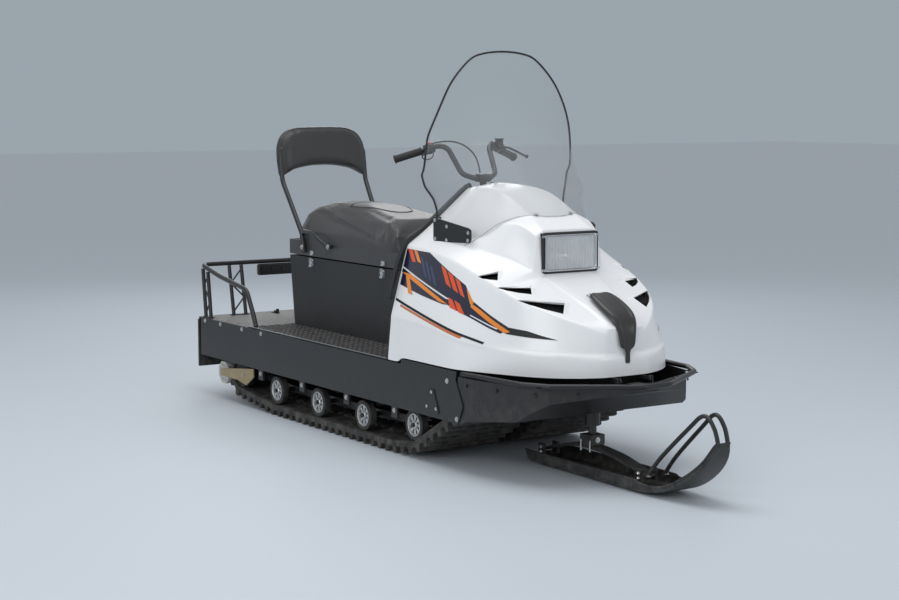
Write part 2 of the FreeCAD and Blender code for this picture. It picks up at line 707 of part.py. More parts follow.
# vents on the right: tail, upper front corner, lower front corner
VENTS = [((645, -350, 761), (686, -292, 782), (713, -315, 745)),
         ((752, -335, 725), (812, -226, 742), (833, -242, 698)),
         ((849, -309, 684), (940, -164, 684), (974, -199, 635))]
hood_shape = hood_solid(0, float(d.hood_foot)).cut(hood_solid(float(d.hood_skin), 300))
for vent in VENTS:
    hood_shape = hood_shape.cut(panel_prism(vent, 40))
    hood_shape = hood_shape.cut(panel_prism(mirrored(vent), 40))
lamp_low, lamp_high, lamp_half = 765, 917, 131
hood_shape = hood_shape.cut(Part.makeBox(
    90, 2 * lamp_half, lamp_high - lamp_low, Vector(690, -lamp_half, lamp_low)))
step_height = float(d.deck_top + d.step_rise) + 7
hood_shape = hood_shape.cut(Part.makeBox(
    1100, 1000, step_height - 300, Vector(float(d.deck_step) - 9, -500, 300)))
column_slot = 48
hood_shape = hood_shape.cut(Part.makeBox(74, 2 * column_slot, 120, Vector(118, -column_slot, 1020)))

# the hood tilts forward on two steel arms, each with an eye round a pin ahead of its nose
hood_pivot_x, hood_pivot_z, pivot_pin, eye_radius = 1150, 395, 5, 9
arm_view = [(1072, 440), (1091, 440), (1091, 402), (1150, 402), (1150, 388), (1080, 388),
            (1072, 400)]
hinge_parts = []
for sign in (-1, 1):
    arm = fuse("hood_arm", [place(prism("arm_plate", "XZ", arm_view, 5), 0, sign * 70, 0),
                            across("arm_eye", eye_radius, hood_pivot_x, sign * 70 - 2.5,
                                   hood_pivot_z, 5)])
    bored = cut("hood_arm_bored", arm, across("eye_bore", pivot_pin + 0.2, hood_pivot_x,
                                              sign * 70 - 10, hood_pivot_z, 20))
    doc.recompute()
    hood_shape = hood_shape.fuse(bored.Shape)
    cheek = slab("pin_cheek", (hood_pivot_x - 9, sign * 82 - 3, pan_top),
                 (hood_pivot_x + 7, sign * 82 + 3, 404))
    pin = across("pin", pivot_pin, hood_pivot_x, sign * 73 - 10, hood_pivot_z, 20)
    hinge_parts.append(fuse("hood_pin", [cheek, pin]))
hood_hinges = group("hood_hinges", hinge_parts)
hood = feature("hood", hood_shape)

headlamp = cut("headlamp", slab("lamp_case", (672, 1 - lamp_half, lamp_low + 1),
                                (756, lamp_half - 1, lamp_high - 1)),
               slab("lamp_bowl", (684, 9 - lamp_half, lamp_low + 9),
                    (770, lamp_half - 9, lamp_high - 9)))
headlamp_lens = slab("headlamp_lens", (746, 9.2 - lamp_half, lamp_low + 9.2),
                     (752, lamp_half - 9.2, lamp_high - 9.2))

handle_line = [(940, 690), (1050, 634), (1088, 612), (1103, 578), (1106, 520), (1106, 450),
               (1118, 450), (1118, 520), (1114, 590), (1096, 626), (1056, 652), (946, 706)]
handle_half = [(46, 720), (66, 660), (66, 640), (57, 612), (42, 560), (38, 505), (31, 500),
               (31, 470), (11, 470), (11, 440)]
handle_face = [(-y, z) for y, z in handle_half] + handle_half[::-1]
handle_hump = common("handle_hump", prism("handle_side", "XZ", handle_line, 140),
                     place(prism("handle_front", "YZ", handle_face, 500), 1000, 0, 0))
hood_handle = cut("hood_handle", handle_hump, feature("nose", hood_solid(0, float(d.hood_foot))))


# level, middle's x, half length and half width of the ellipse, and its half angle in degrees
SHIELD_LEVELS = [(880, 290, 425, 306, 90), (950, 289, 385, 308, 90), (1030, 276, 350, 322, 90),
                 (1090, 252, 338, 351, 90), (1240, 6, 448, 444, 58), (1414, -541, 891, 891, 24.5),
                 (1640, -1610, 1900, 1900, 11.5)]


def shield_spot(share, height, thickness):
    """A point of the windshield: its share of the half width, its height and the skin's depth."""
    rows = []
    for level, middle, length, width, half_angle in SHIELD_LEVELS:
        turn = math.radians(half_angle) * share
        rows.append(Vector(middle + (length - thickness) * math.cos(turn),
                           (width - thickness) * math.sin(turn), level))
    k = max(i for i in range(len(rows) - 1) if i == 0 or rows[i].z <= height)
    step = rows[k + 1].z - rows[k].z
    t = (height - rows[k].z) / step

    def slope(i):
        low, high = rows[max(i - 1, 0)], rows[min(i + 1, len(rows) - 1)]
        return (high - low) * (step / (high.z - low.z))

    spot = (rows[k] * (2 * t ** 3 - 3 * t ** 2 + 1) + slope(k) * (t ** 3 - 2 * t ** 2 + t)
            + rows[k + 1] * (3 * t ** 2 - 2 * t ** 3) + slope(k + 1) * (t ** 3 - t ** 2))
    return Vector(spot.x, spot.y, height)


def windshield_shell():
    """A curved sheet lofted up from a round lower edge to a nearly flat top."""
    wires = []
    for height in (880, 915, 950, 990, 1040, 1090, 1140, 1190, 1240, 1300, 1360, 1430, 1500,
                   1570, 1640):
        sides = []
        for thickness in (0, float(d.sheet)):
            curve = Part.BSplineCurve()
            curve.interpolate([shield_spot(step / 7, height, thickness)
                               for step in range(-7, 8)])
            sides.append(curve.toShape())
        outer, inner = sides
        low = Part.LineSegment(shield_spot(-1, height, 0),
                               shield_spot(-1, height, float(d.sheet))).toShape()
        high = Part.LineSegment(shield_spot(1, height, 0),
                                shield_spot(1, height, float(d.sheet))).toShape()
        wires.append(Part.Wire([outer, high, inner, low]))
    return Part.makeLoft(wires, True, True)


def shield_outline():
    """Front view of the windshield: rounded top, bulge, lower corners and the edge on the hood."""
    # y, z of the left half, from the top
    half = [(100, 1612), (165, 1585), (246, 1505), (300, 1414), (345, 1304), (357, 1237),
            (362, 1190), (372, 1142), (372, 952), (306, 946), (290, 905), (264, 882), (216, 928), (150, 961), (60, 969)]
    ring = ([Vector(0, -y, z) for y, z in half] + [Vector(0, y, z) for y, z in half[::-1]]
            + [Vector(0, 0, 1621)])
    face = Part.Face(Part.makePolygon(ring + ring[:1]))
    return face.extrude(Vector(900, 0, 0))


shield_cut = windshield_shell().common(shield_outline())
windshield = feature("windshield", shield_cut.cut(hood_solid(0, float(d.hood_foot))))

bracket_shape = panel_prism([(285, -329, 966), (516, -303, 926), (516, -303, 872),
                             (285, -329, 872)], 2).cut(hood_solid(0, float(d.hood_foot)))
windshield_brackets = group("windshield_brackets", [
    feature("bracket_right", bracket_shape), feature("bracket_left", bracket_shape.mirror(
        Vector(), Vector(0, 1, 0)))])

# ---------------------------------------------------------------- dash, steering and controls
column_top, column_foot = Vector(150, 0, 1092), Vector(380, 0, 412)


def dash_shape():
    """A black cap that closes the rear of the engine bay and slopes back to the rider."""
    rear = HOOD_SECTIONS[0]
    front = hood_wire(rear, 1, float(d.hood_foot), -6)
    back = hood_wire(rear, 22, float(d.hood_foot), -46)
    cap = Part.makeLoft([back, front], True, True)
    inner_back = hood_wire(rear, 27, float(d.hood_foot) + 6, -40)
    inner_front = hood_wire(rear, 6, float(d.hood_foot) + 6, 4)
    cap = cap.cut(Part.makeLoft([inner_back, inner_front], True, True))
    cap = cap.cut(Part.makeBox(200, 420 + 6, float(d.box_top) - 300 + 3, Vector(0, -213, 300)))
    slot = Part.makeCylinder(23, 400, Vector(50, 0, 1392) , Vector(230, 0, -690))
    return cap.cut(slot)


dash_panel = feature("dash_panel", dash_shape())

bar_line = [(-56, -301, 1181), (30, -106, 1246), (121, -84, 1122), (150, -34, 1104),
            (150, 34, 1104), (121, 84, 1122), (30, 106, 1246), (-56, 301, 1181)]
bar_shape = bent_tube(bar_line, [48, 45, 30, 30, 45, 48], d.bar_radius)
handlebar = feature("handlebar", bar_shape)
clamp_low = 1090
clamp_block = slab("clamp_block", (132, -29, clamp_low), (168, 29, 1122))
steering_column = cut("steering_column", clamp_block,
                      across("clamp_bore", d.bar_radius, 150, -40, 1104, 80))
column_end = column_top + (column_top - column_foot) * 0.03
steering_shaft = cut("steering_shaft", rod("shaft_rod", column_foot, column_end, d.column_radius),
                     slab("shaft_top", (90, -40, clamp_low), (210, 40, 1150)))


def along_grip(share):
    """A point on the right grip's axis: 0 at the bar's end, 1 at the bend."""
    start, end = Vector(*bar_line[0]), Vector(*bar_line[1])
    return start + (end - start) * share


def sleeve(name, start, end, radius, sign):
    """A tube round the bar between two shares of the grip's axis."""
    a, b = along_grip(start), along_grip(end)
    ends = [Vector(p.x, -sign * p.y, p.z) for p in (a, b)]
    reach = (ends[1] - ends[0]).normalize() * 6
    return cut(name, rod(name + "_outer", ends[0], ends[1], radius),
               rod(name + "_bore", ends[0] - reach, ends[1] + reach, d.bar_radius))


handlebar_grips = group("handlebar_grips", [
    sleeve("grip_right", 0.0, 0.56, d.grip_radius, -1),
    sleeve("grip_left", 0.0, 0.56, d.grip_radius, 1)])

throttle_case = sleeve("throttle_case", 0.585, 0.78, 21, -1)
thumb_a, thumb_b = along_grip(0.62), along_grip(0.40)
ahead = Vector(26, -6, -12)
throttle_control = fuse("throttle_control", [
    throttle_case, rod("thumb_pivot", thumb_a + ahead * 0.6, thumb_a + ahead * 1.2, 6),
    rod("thumb_lever", thumb_a + ahead * 1.1, thumb_b + ahead * 1.5, 5)])
brake_case = sleeve("brake_case", 0.60, 0.76, 18, 1)
lever_root = along_grip(0.68)
lever_root = Vector(lever_root.x, -lever_root.y, lever_root.z)
lever_knee = lever_root + Vector(62, 14, 2)
lever_end = lever_knee + Vector(-14, 112, -40)
perch_low = lever_root + Vector(15, -8, -10)
perch_high = lever_knee + Vector(4, 6, 9)
brake_control = fuse("brake_control", [
    brake_case, slab("perch", (perch_low.x, perch_low.y, perch_low.z),
                     (perch_high.x, perch_high.y, perch_high.z)),
    rod("lever", lever_knee, lever_end, 5),
    rod("lever_knob", lever_end - Vector(-1, 7, -3), lever_end + Vector(-1, 7, -3), 8),
    slab("reservoir", (lever_root.x + 20, lever_root.y - 12, lever_root.z + 6),
         (lever_root.x + 54, lever_root.y + 10, lever_root.z + 38))])

cable_points = [(8, -152, 1248), (44, -112, 1260), (92, -66, 1248), (128, -36, 1214),
                (150, -22, 1172), (158, -18, 1122)]
throttle_cable = feature("throttle_cable", bent_tube(cable_points, [50, 55, 55, 80], 3.5))

# ---------------------------------------------------------------- ski
ski_side = [(568, 24), (600, 4), (1282, 4), (1377, 13), (1453, 39), (1523, 80), (1600, 142),
            (1650, 228), (1636, 237), (1588, 162), (1512, 100), (1440, 62), (1370, 40),
            (1276, 30), (1264, d.ski_top), (600, d.ski_top), (568, d.ski_top)]
ski_plan = [(560, -d.ski_half + 20), (620, -d.ski_half), (1300, -d.ski_half), (1480, -78),
            (1600, -58), (1650, -34), (1650, 34), (1600, 58), (1480, 78), (1300, d.ski_half),
            (620, d.ski_half), (560, d.ski_half - 20)]
ski_block = common("ski_block", prism("ski_profile", "XZ", ski_side, 300),
                   prism("ski_outline", "XY", ski_plan, 900))
ski_trough = slab("ski_trough", (590, 14 - d.ski_half, 30), (1256, d.ski_half - 14, 90))
ski_runner = cut("ski_runner", ski_block, ski_trough)
ski_keel = slab("ski_keel", (640, -8, 0), (1240, 8, 4))

leaf_line = [(612, 50), (740, 92), (862, 112), (938, 112), (1080, 96), (1252, 50), (1252, 40),
             (1080, 84), (938, 100), (862, 100), (740, 80), (612, 40)]
ski_spring = prism("ski_spring", "XZ", leaf_line, 56)
shackles = []
for x, low in ((622, 30), (1226, 30)):
    for sign in (-1, 1):
        shackles.append(slab("shackle", (x - 18, sign * 34 - 6, low), (x + 18, sign * 34 + 6, 74)))
ski_shackles = group("ski_shackles", shackles)

spindle_head = slab("spindle_head", (d.ski_axis - 34, -34, 112), (d.ski_axis + 34, 34, 152))
spindle_pin = doc.addObject("Part::Cylinder", "spindle_pin")
bind(spindle_pin, "Radius", d.pin_radius)
spindle_pin.Height = 210
place(spindle_pin, d.ski_axis, 0, 140)
ski_spindle = fuse("ski_spindle", [spindle_head, spindle_pin])
housing_tube = doc.addObject("Part::Cylinder", "housing_tube")
housing_tube.Radius = 29
housing_tube.Height = 150
place(housing_tube, d.ski_axis, 0, 186)
housing_bore = doc.addObject("Part::Cylinder", "housing_bore")
bind(housing_bore, "Radius", d.pin_radius + 0.3)
housing_bore.Height = 200
place(housing_bore, d.ski_axis, 0, 160)
housing_stay = slab("housing_stay", (floor_front, -22, 262), (d.ski_axis, 22, 300))
spindle_housing = cut("spindle_housing", fuse("housing_body", [housing_tube, housing_stay]),
                      housing_bore)

hoops = []
for sign in (-1, 1):
    line = [(1277, sign * 42, 50), (1350, sign * 42, 136), (1505, sign * 42, 278),
            (1572, sign * 42, 338), (1628, sign * 30, 272), (1628, sign * 30, 242)]
    hoops.append(feature("hoop", bent_tube(line, [120, 200, 32, 22], 8)))
ski_loop = group("ski_loop", hoops)

# ---------------------------------------------------------------- write the nodes
NODES = [deck_frame, centre_beam, *skirts, footboards, rear_deck, rear_flap, tow_hitch, belly_pan,
         front_bumper, hood_hinges, engine_block, track_right, track_left, road_wheels,
         rear_idlers, drive_axles, track_carriers, hanger_brackets, tail_rollers, tension_arms,
         rack_rail, rack_posts, tail_lamp, seat_box, seat_base, seat_cushion, seat_latches,
         backrest_frame, backrest_pad, grab_handles, hood, headlamp, headlamp_lens, hood_handle,
         windshield, windshield_brackets, dash_panel, steering_column, steering_shaft,
         handlebar, handlebar_grips, throttle_control, brake_control, throttle_cable,
         ski_runner, ski_keel, ski_spring, ski_shackles, ski_spindle, spindle_housing, ski_loop]

doc.recompute()
for thing in doc.Objects:
    if "Invalid" in thing.State or "Error" in thing.State:
        raise RuntimeError("%s failed: %s" % (thing.Label, thing.State))
os.makedirs("parts", exist_ok=True)
for node in NODES:
    shape = node.Shape
    if shape.isNull() or not shape.isValid() or not shape.Solids:
        raise RuntimeError("%s has no valid solid" % node.Label)
    shape.exportStep("parts/%s.step" % node.Label)
    box = shape.BoundBox
    print("%-20s %2d solids %10.1f cm3  x %6.0f %6.0f  y %5.0f %5.0f  z %5.0f %5.0f" % (
        node.Label, len(shape.Solids), shape.Volume / 1000, box.XMin, box.XMax, box.YMin, box.YMax,
        box.ZMin, box.ZMax))
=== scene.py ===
import math

import bmesh
import bpy
from mathutils import Matrix, Vector
from mathutils.bvhtree import BVHTree


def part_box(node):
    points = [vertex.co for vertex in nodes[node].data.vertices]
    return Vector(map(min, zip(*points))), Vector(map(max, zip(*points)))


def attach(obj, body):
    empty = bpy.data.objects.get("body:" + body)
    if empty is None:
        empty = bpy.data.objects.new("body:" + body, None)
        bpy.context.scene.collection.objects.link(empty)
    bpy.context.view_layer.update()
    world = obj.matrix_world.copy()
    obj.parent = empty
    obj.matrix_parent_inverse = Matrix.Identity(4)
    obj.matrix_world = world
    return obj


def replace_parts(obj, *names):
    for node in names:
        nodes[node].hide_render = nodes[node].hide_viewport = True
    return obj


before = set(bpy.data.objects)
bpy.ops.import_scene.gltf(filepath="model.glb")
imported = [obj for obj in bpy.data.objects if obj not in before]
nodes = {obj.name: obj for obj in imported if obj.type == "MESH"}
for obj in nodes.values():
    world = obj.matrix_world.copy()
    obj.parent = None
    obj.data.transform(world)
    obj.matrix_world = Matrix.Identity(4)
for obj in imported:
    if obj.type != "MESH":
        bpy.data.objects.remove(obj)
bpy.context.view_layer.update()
scene = bpy.context.scene

# ---------------------------------------------------------------- the studio
# The machine stands on a pale matt floor that runs back to a cool grey backdrop. Light comes
# from one long softbox overhead and two large panels at the sides, with a dim sky all round.
scene.view_settings.view_transform = "Standard"


def fill(tree, node, sockets):
    """Gives a node's sockets their values or links."""
    for key, value in sockets.items():
        if isinstance(value, bpy.types.NodeSocket):
            tree.links.new(value, node.inputs[key])
        else:
            node.inputs[key].default_value = value


def put(tree, kind, sockets=None, **settings):
    """A new node in a tree, with its settings, and its sockets filled with values or links."""
    made = tree.nodes.new(kind)
    for key, value in settings.items():
        setattr(made, key, value)
    fill(tree, made, sockets or {})
    return made


def link_object(name, mesh):
    made = bpy.data.objects.new(name, mesh)
    scene.collection.objects.link(made)
    return made


floor_mesh = bpy.data.meshes.new("studio_floor")
floor_mesh.from_pydata([(-40, -40, 0), (40, -40, 0), (40, 40, 0), (-40, 40, 0)], [], [(0, 1, 2, 3)])
floor_paint = bpy.data.materials.new("pale_floor")
floor_paint.use_nodes = True
fill(floor_paint.node_tree, floor_paint.node_tree.nodes["Principled BSDF"],
     {"Base Color": (0.60, 0.65, 0.70, 1), "Roughness": 0.55})
floor_mesh.materials.append(floor_paint)
link_object("studio_floor", floor_mesh)

sky = bpy.data.worlds.new("studio_sky")
scene.world = sky
sky.use_nodes = True
sky_tree = sky.node_tree
sky_tree.nodes.clear()
path_kind = put(sky_tree, "ShaderNodeLightPath").outputs
seen = put(sky_tree, "ShaderNodeMath", {
    0: path_kind["Is Camera Ray"], 1: path_kind["Is Transmission Ray"]}, operation="MAXIMUM")
plain = put(sky_tree, "ShaderNodeBackground", {"Color": (0.76, 0.80, 0.85, 1), "Strength": 0.60})
backdrop = put(sky_tree, "ShaderNodeBackground", {
    "Color": (0.325, 0.375, 0.415, 1), "Strength": 1.0})
either = put(sky_tree, "ShaderNodeMixShader", {
    0: seen.outputs[0], 1: plain.outputs[0], 2: backdrop.outputs[0]})
put(sky_tree, "ShaderNodeOutputWorld", {"Surface": either.outputs[0]})


def softbox(name, spot, aim, size, power):
    lamp = bpy.data.lights.new(name, "AREA")
    lamp.shape = "RECTANGLE"
    lamp.size, lamp.size_y = size
    lamp.energy = power
    made = link_object(name, lamp)
    made.location = spot
    made.rotation_euler = (Vector(aim) - Vector(spot)).to_track_quat("-Z", "Y").to_euler()


softbox("overhead_softbox", (0.2, -0.6, 4.6), (0, 0, 0.4), (5.0, 2.6), 102)
softbox("right_panel", (2.6, -5.2, 2.6), (0, 0, 0.5), (3.2, 2.2), 64)
softbox("nose_panel", (6.0, 1.8, 2.4), (0.6, 0, 0.6), (2.4, 2.0), 36)
softbox("rear_panel", (-5.0, 2.6, 3.0), (-0.6, 0, 0.6), (2.6, 2.0), 36)

camera = link_object("camera", bpy.data.cameras.new("camera"))
camera.data.sensor_width = 36
camera.data.lens = 71.46
camera.location = (6.2477, -4.1623, 1.4236)
camera.rotation_euler = Vector((-0.8311, 0.5449, -0.1111)).to_track_quat("-Z", "Y").to_euler()
scene.camera = camera

# ---------------------------------------------------------------- deck, skirts and beam
# The chassis is folded 4 mm steel sheet on a boxed centre beam, powder coated satin black. The
# side skirts bolt to the deck's edge. Boots and grit have rubbed the coat in scattered patches.
# The bright line along the upper edges is a painted highlight, carried by the footboards' strips.


def node_group(kind, name, inputs, outputs):
    """An empty group with sockets (label, kind) or (label, kind, value): tree, inputs and end."""
    tree = bpy.data.node_groups.new(name, kind)
    for label, what, *value in inputs:
        socket = tree.interface.new_socket(label, in_out="INPUT", socket_type="NodeSocket" + what)
        if value:
            socket.default_value = value[0]
    for label, what in outputs:
        tree.interface.new_socket(label, in_out="OUTPUT", socket_type="NodeSocket" + what)
    return tree, tree.nodes.new("NodeGroupInput").outputs, tree.nodes.new("NodeGroupOutput")


def noise(tree, place, scale, detail=2.0, rough=0.5, warp=0.0):
    return put(tree, "ShaderNodeTexNoise", {
        "Vector": place, "Scale": scale, "Detail": detail, "Roughness": rough,
        "Distortion": warp}).outputs[0]


def spread(tree, value, low, high, to_low=0.0, to_high=1.0):
    """A value's range from low to high, stretched over another range."""
    return put(tree, "ShaderNodeMapRange", {
        "Value": value, "From Min": low, "From Max": high, "To Min": to_low,
        "To Max": to_high}).outputs[0]


def reckon(tree, operation, *values, clamp=False):
    return put(tree, "ShaderNodeMath", dict(enumerate(values)), operation=operation,
               use_clamp=clamp).outputs[0]


def mix_colour(tree, share, first, second):
    return put(tree, "ShaderNodeMix", {0: share, 6: first, 7: second}, data_type="RGBA").outputs[2]


def bump(tree, height, strength, distance, **under):
    return put(tree, "ShaderNodeBump", {
        "Height": height, "Strength": strength, "Distance": distance, **under}).outputs[0]


# small pits and pebbles of a coated, moulded or cast skin
grain_tree, g_in, g_out = node_group(
    "ShaderNodeTree", "skin_grain",
    [("Place", "Vector"), ("Scale", "Float", 500.0), ("Pebble", "Float", 0.5)],
    [("Height", "Float"), ("Shade", "Float")])
g_cells = put(grain_tree, "ShaderNodeTexVoronoi", {"Vector": g_in["Place"], "Scale": g_in["Scale"]})
g_mix = put(grain_tree, "ShaderNodeMix", {
    0: g_in["Pebble"], 2: noise(grain_tree, g_in["Place"], g_in["Scale"], 3.0),
    3: g_cells.outputs["Distance"]})
fill(grain_tree, g_out, {
    "Height": g_mix.outputs[0], "Shade": noise(grain_tree, g_in["Place"], 5.0, 4.0)})

# fine scratches gathered in patches, as a mask
scuff_tree, s_in, s_out = node_group(
    "ShaderNodeTree", "scuff_marks",
    [("Place", "Vector"), ("Scale", "Float", 40.0), ("Amount", "Float", 0.3)], [("Mask", "Float")])
s_long = put(scuff_tree, "ShaderNodeVectorMath", {0: s_in["Place"], 1: (1.0, 9.0, 14.0)},
             operation="MULTIPLY")
s_lines = noise(scuff_tree, s_long.outputs[0], s_in["Scale"], 6.0, 0.7)
s_where = spread(scuff_tree, noise(scuff_tree, s_in["Place"], 7.0), 0.48, 0.62)
s_both = reckon(scuff_tree, "MULTIPLY", spread(scuff_tree, s_lines, 0.60, 0.72), s_where)
fill(scuff_tree, s_out, {"Mask": reckon(scuff_tree, "MULTIPLY", s_both, s_in["Amount"])})

# dried grit that settles low on the machine and thins out upwards
grit_tree, d_in, d_out = node_group(
    "ShaderNodeTree", "dried_grit",
    [("Place", "Vector"), ("Colour", "Color"), ("Top", "Float", 0.5), ("Amount", "Float", 0.2)],
    [("Colour", "Color"), ("Mask", "Float")])
d_height = put(grit_tree, "ShaderNodeSeparateXYZ", {0: d_in["Place"]}).outputs["Z"]
d_low = spread(grit_tree, d_height, 0.0, d_in["Top"], 1.0, 0.0)
d_spot = spread(grit_tree, noise(grit_tree, d_in["Place"], 26.0, 8.0, 0.75), 0.42, 0.68)
d_both = reckon(grit_tree, "MULTIPLY", d_low, d_spot)
d_some = reckon(grit_tree, "MULTIPLY", d_both, d_in["Amount"])
fill(grit_tree, d_out, {"Mask": d_some, "Colour": mix_colour(
    grit_tree, d_some, d_in["Colour"], (0.30, 0.28, 0.25, 1))})


def inside(material):
    """A material's tree, its shader, and the piece's own coordinates for its patterns."""
    material.use_nodes = True
    tree = material.node_tree
    return tree, tree.nodes["Principled BSDF"], put(tree, "ShaderNodeTexCoord").outputs["Object"]


def finish(name, colour, rough, metal=0.0, grain=700.0, pebble=0.4, depth=0.15, shade=0.18,
           scuffs=0.3, bare=(0.30, 0.31, 0.32), grit=0.15, grit_top=0.5, coat=0.0, sheen=0.0):
    """A coated, moulded or bare surface with grain, uneven tone, scuffs and settled grit."""
    made = bpy.data.materials.new(name)
    tree, surface, place = inside(made)
    skin = put(tree, "ShaderNodeGroup", {"Place": place, "Scale": grain, "Pebble": pebble},
               node_tree=grain_tree).outputs
    marks = put(tree, "ShaderNodeGroup", {"Place": place, "Amount": scuffs}, node_tree=scuff_tree)
    dark = tuple(c * (1 - shade) for c in colour) + (1,)
    light = tuple(min(1, c * (1 + shade)) for c in colour) + (1,)
    toned = mix_colour(tree, skin["Shade"], dark, light)
    rubbed = mix_colour(tree, marks.outputs["Mask"], toned, tuple(bare) + (1,))
    dirt = put(tree, "ShaderNodeGroup", {
        "Place": place, "Colour": rubbed, "Amount": grit, "Top": grit_top},
        node_tree=grit_tree).outputs
    uneven = spread(tree, skin["Shade"], 0.0, 1.0, rough * 0.85, min(1.0, rough * 1.15))
    fill(tree, surface, {
        "Base Color": dirt["Colour"],
        "Roughness": reckon(tree, "ADD", dirt["Mask"], uneven, clamp=True),
        "Normal": bump(tree, skin["Height"], depth, 0.0006),
        "Metallic": metal, "Coat Weight": coat, "Coat Roughness": 0.06, "Sheen Weight": sheen})
    return made


def paint_nodes(material, *names):
    """Gives CAD nodes their material."""
    for name in names:
        nodes[name].data.materials.clear()
        nodes[name].data.materials.append(material)


black_steel = finish("black_powder_coat", (0.013, 0.0135, 0.0145), 0.40, grain=900, depth=0.22,
    scuffs=0.22, bare=(0.16, 0.16, 0.17), grit=0.10, grit_top=0.40)
paint_nodes(black_steel, "deck_frame", "centre_beam", "side_skirt_right", "side_skirt_left",
            "hanger_brackets", "spindle_housing")


def smoothed(made, sharp):
    """Smooth shading but for the edges sharper than an angle in degrees."""
    made.data.shade_smooth()
    made.data.set_sharp_from_angle(angle=math.radians(sharp))
    return made


def finished(name, shape, material, body, sharp=35):
    """A bmesh as a finished piece: smooth but for its sharp edges, riding on a body."""
    mesh = bpy.data.meshes.new(name)
    if isinstance(shape, bmesh.types.BMesh):
        shape.to_mesh(mesh)
        shape.free()
    else:
        mesh = shape
        mesh.name = name
    made = link_object(name, mesh)
    if material:
        mesh.materials.clear()
        mesh.materials.append(material)
    smoothed(made, sharp)
    if body:
        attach(made, body)
    return made


def settled(made):
    """Bakes a piece's modifiers into its mesh."""
    ready = made.evaluated_get(bpy.context.evaluated_depsgraph_get())
    mesh = bpy.data.meshes.new_from_object(ready)
    made.modifiers.clear()
    made.data = mesh
    return made


def geometry_tree(name, inputs):
    """A Geometry Nodes tree that takes and gives geometry, with named inputs for its sizes."""
    return node_group("GeometryNodeTree", name, [("Geometry", "Geometry")] + inputs,
        [("Geometry", "Geometry")])


def mesh_points(tree, enter):
    return put(tree, "GeometryNodeMeshToPoints", {0: enter["Geometry"]}).outputs[0]


def stood_up(tree):
    """The turn that stands a copy along its point's facing."""
    facing = put(tree, "GeometryNodeInputNamedAttribute", {"Name": "facing"}, data_type="FLOAT_VECTOR")
    return put(tree, "FunctionNodeAlignRotationToVector", {"Vector": facing.outputs[0]},
               axis="Z").outputs[0]


def close_tree(tree, enter, leave, points, shape, turn=None):
    """Ends a tree: a copy of a shape on each point, Realize Instances and Set Material."""
    copies = put(tree, "GeometryNodeInstanceOnPoints", {"Points": points, "Instance": shape})
    if turn:
        fill(tree, copies, {"Rotation": turn})
    real = put(tree, "GeometryNodeRealizeInstances", {0: copies.outputs[0]})
    coated = put(tree, "GeometryNodeSetMaterial", {
        "Geometry": real.outputs[0], "Material": enter["Finish"]})
    fill(tree, leave, {0: coated.outputs[0]})


def grown(name, seed_mesh, tree, values, body):
    """Runs a tree on a seed mesh and keeps the result as a plain piece on a body."""
    made = link_object(name, seed_mesh)
    step = made.modifiers.new("grow", "NODES")
    step.node_group = tree
    for item in tree.interface.items_tree:
        if item.in_out == "INPUT" and item.name in values:
            step[item.identifier] = values[item.name]
    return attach(smoothed(settled(made), 35), body)


# hexagon heads on a washer, one for each seed point, standing along the point's facing
bolt_tree, b_in, b_out = geometry_tree("hex_bolts", [
    ("Head", "Float"), ("Height", "Float"), ("Washer", "Float"), ("Finish", "Material")])
b_thin = reckon(bolt_tree, "MULTIPLY", b_in["Height"], 0.2)
b_top = reckon(bolt_tree, "MULTIPLY", b_in["Head"], 0.78)
b_layers = [put(bolt_tree, "GeometryNodeMeshCone", {
    "Vertices": corners, "Radius Top": top, "Radius Bottom": foot, "Depth": depth}).outputs[0]
    for corners, top, foot, depth in (
        (20, b_in["Washer"], b_in["Washer"], b_thin), (6, b_in["Head"], b_in["Head"], b_in["Height"]),
        (6, b_top, b_in["Head"], b_thin))]
b_lift = put(bolt_tree, "ShaderNodeCombineXYZ", {"Z": b_in["Height"]})
b_raised = put(bolt_tree, "GeometryNodeTransform", {
    "Geometry": b_layers.pop(), "Translation": b_lift.outputs[0]})
b_join = put(bolt_tree, "GeometryNodeJoinGeometry")
for layer in b_layers + [b_raised.outputs[0]]:
    bolt_tree.links.new(layer, b_join.inputs[0])
close_tree(bolt_tree, b_in, b_out, mesh_points(bolt_tree, b_in), b_join.outputs[0],
           stood_up(bolt_tree))


def seeds(name, spots):
    """A mesh of loose points, each with the direction it faces."""
    mesh = bpy.data.meshes.new(name)
    mesh.from_pydata([s[0] for s in spots], [], [])
    facing = mesh.attributes.new("facing", "FLOAT_VECTOR", "POINT")
    for item, (_, way) in zip(facing.data, spots):
        item.vector = Vector(way).normalized()
    return mesh


zinc_bolt = finish("zinc_plated_bolt", (0.62, 0.62, 0.60), 0.28, metal=1.0, grain=300, depth=0.1,
    bare=(0.35, 0.30, 0.25), grit=0.2)


def bolts(name, spots, body, head=0.0075, height=0.005, washer=0.0105, material=zinc_bolt):
    return grown(name, seeds(name, spots), bolt_tree, {
        "Head": head, "Height": height, "Washer": washer, "Finish": material}, body)


# the skirts' faces, and the hangers' faces that the lower row is screwed to
skirt_face, hanger_face = 0.455, 0.451
skirt_bolts = []
for side in (-1, 1):
    for x, z in [(-1.560, 0.366), (-1.393, 0.366), (-1.167, 0.366), (-0.975, 0.366),
                 (-0.990, 0.179), (-0.598, 0.179), (-0.207, 0.180), (0.181, 0.181),
                 (0.576, 0.353), (0.644, 0.214), (0.469, 0.296), (0.436, 0.236), (0.502, 0.234)]:
        skirt_bolts.append(((x, side * (hanger_face if z < 0.19 else skirt_face), z), (0, side, 0)))
bolts("skirt_bolts", skirt_bolts, "chassis")


def outward(shape):
    bmesh.ops.recalc_face_normals(shape, faces=shape.faces)


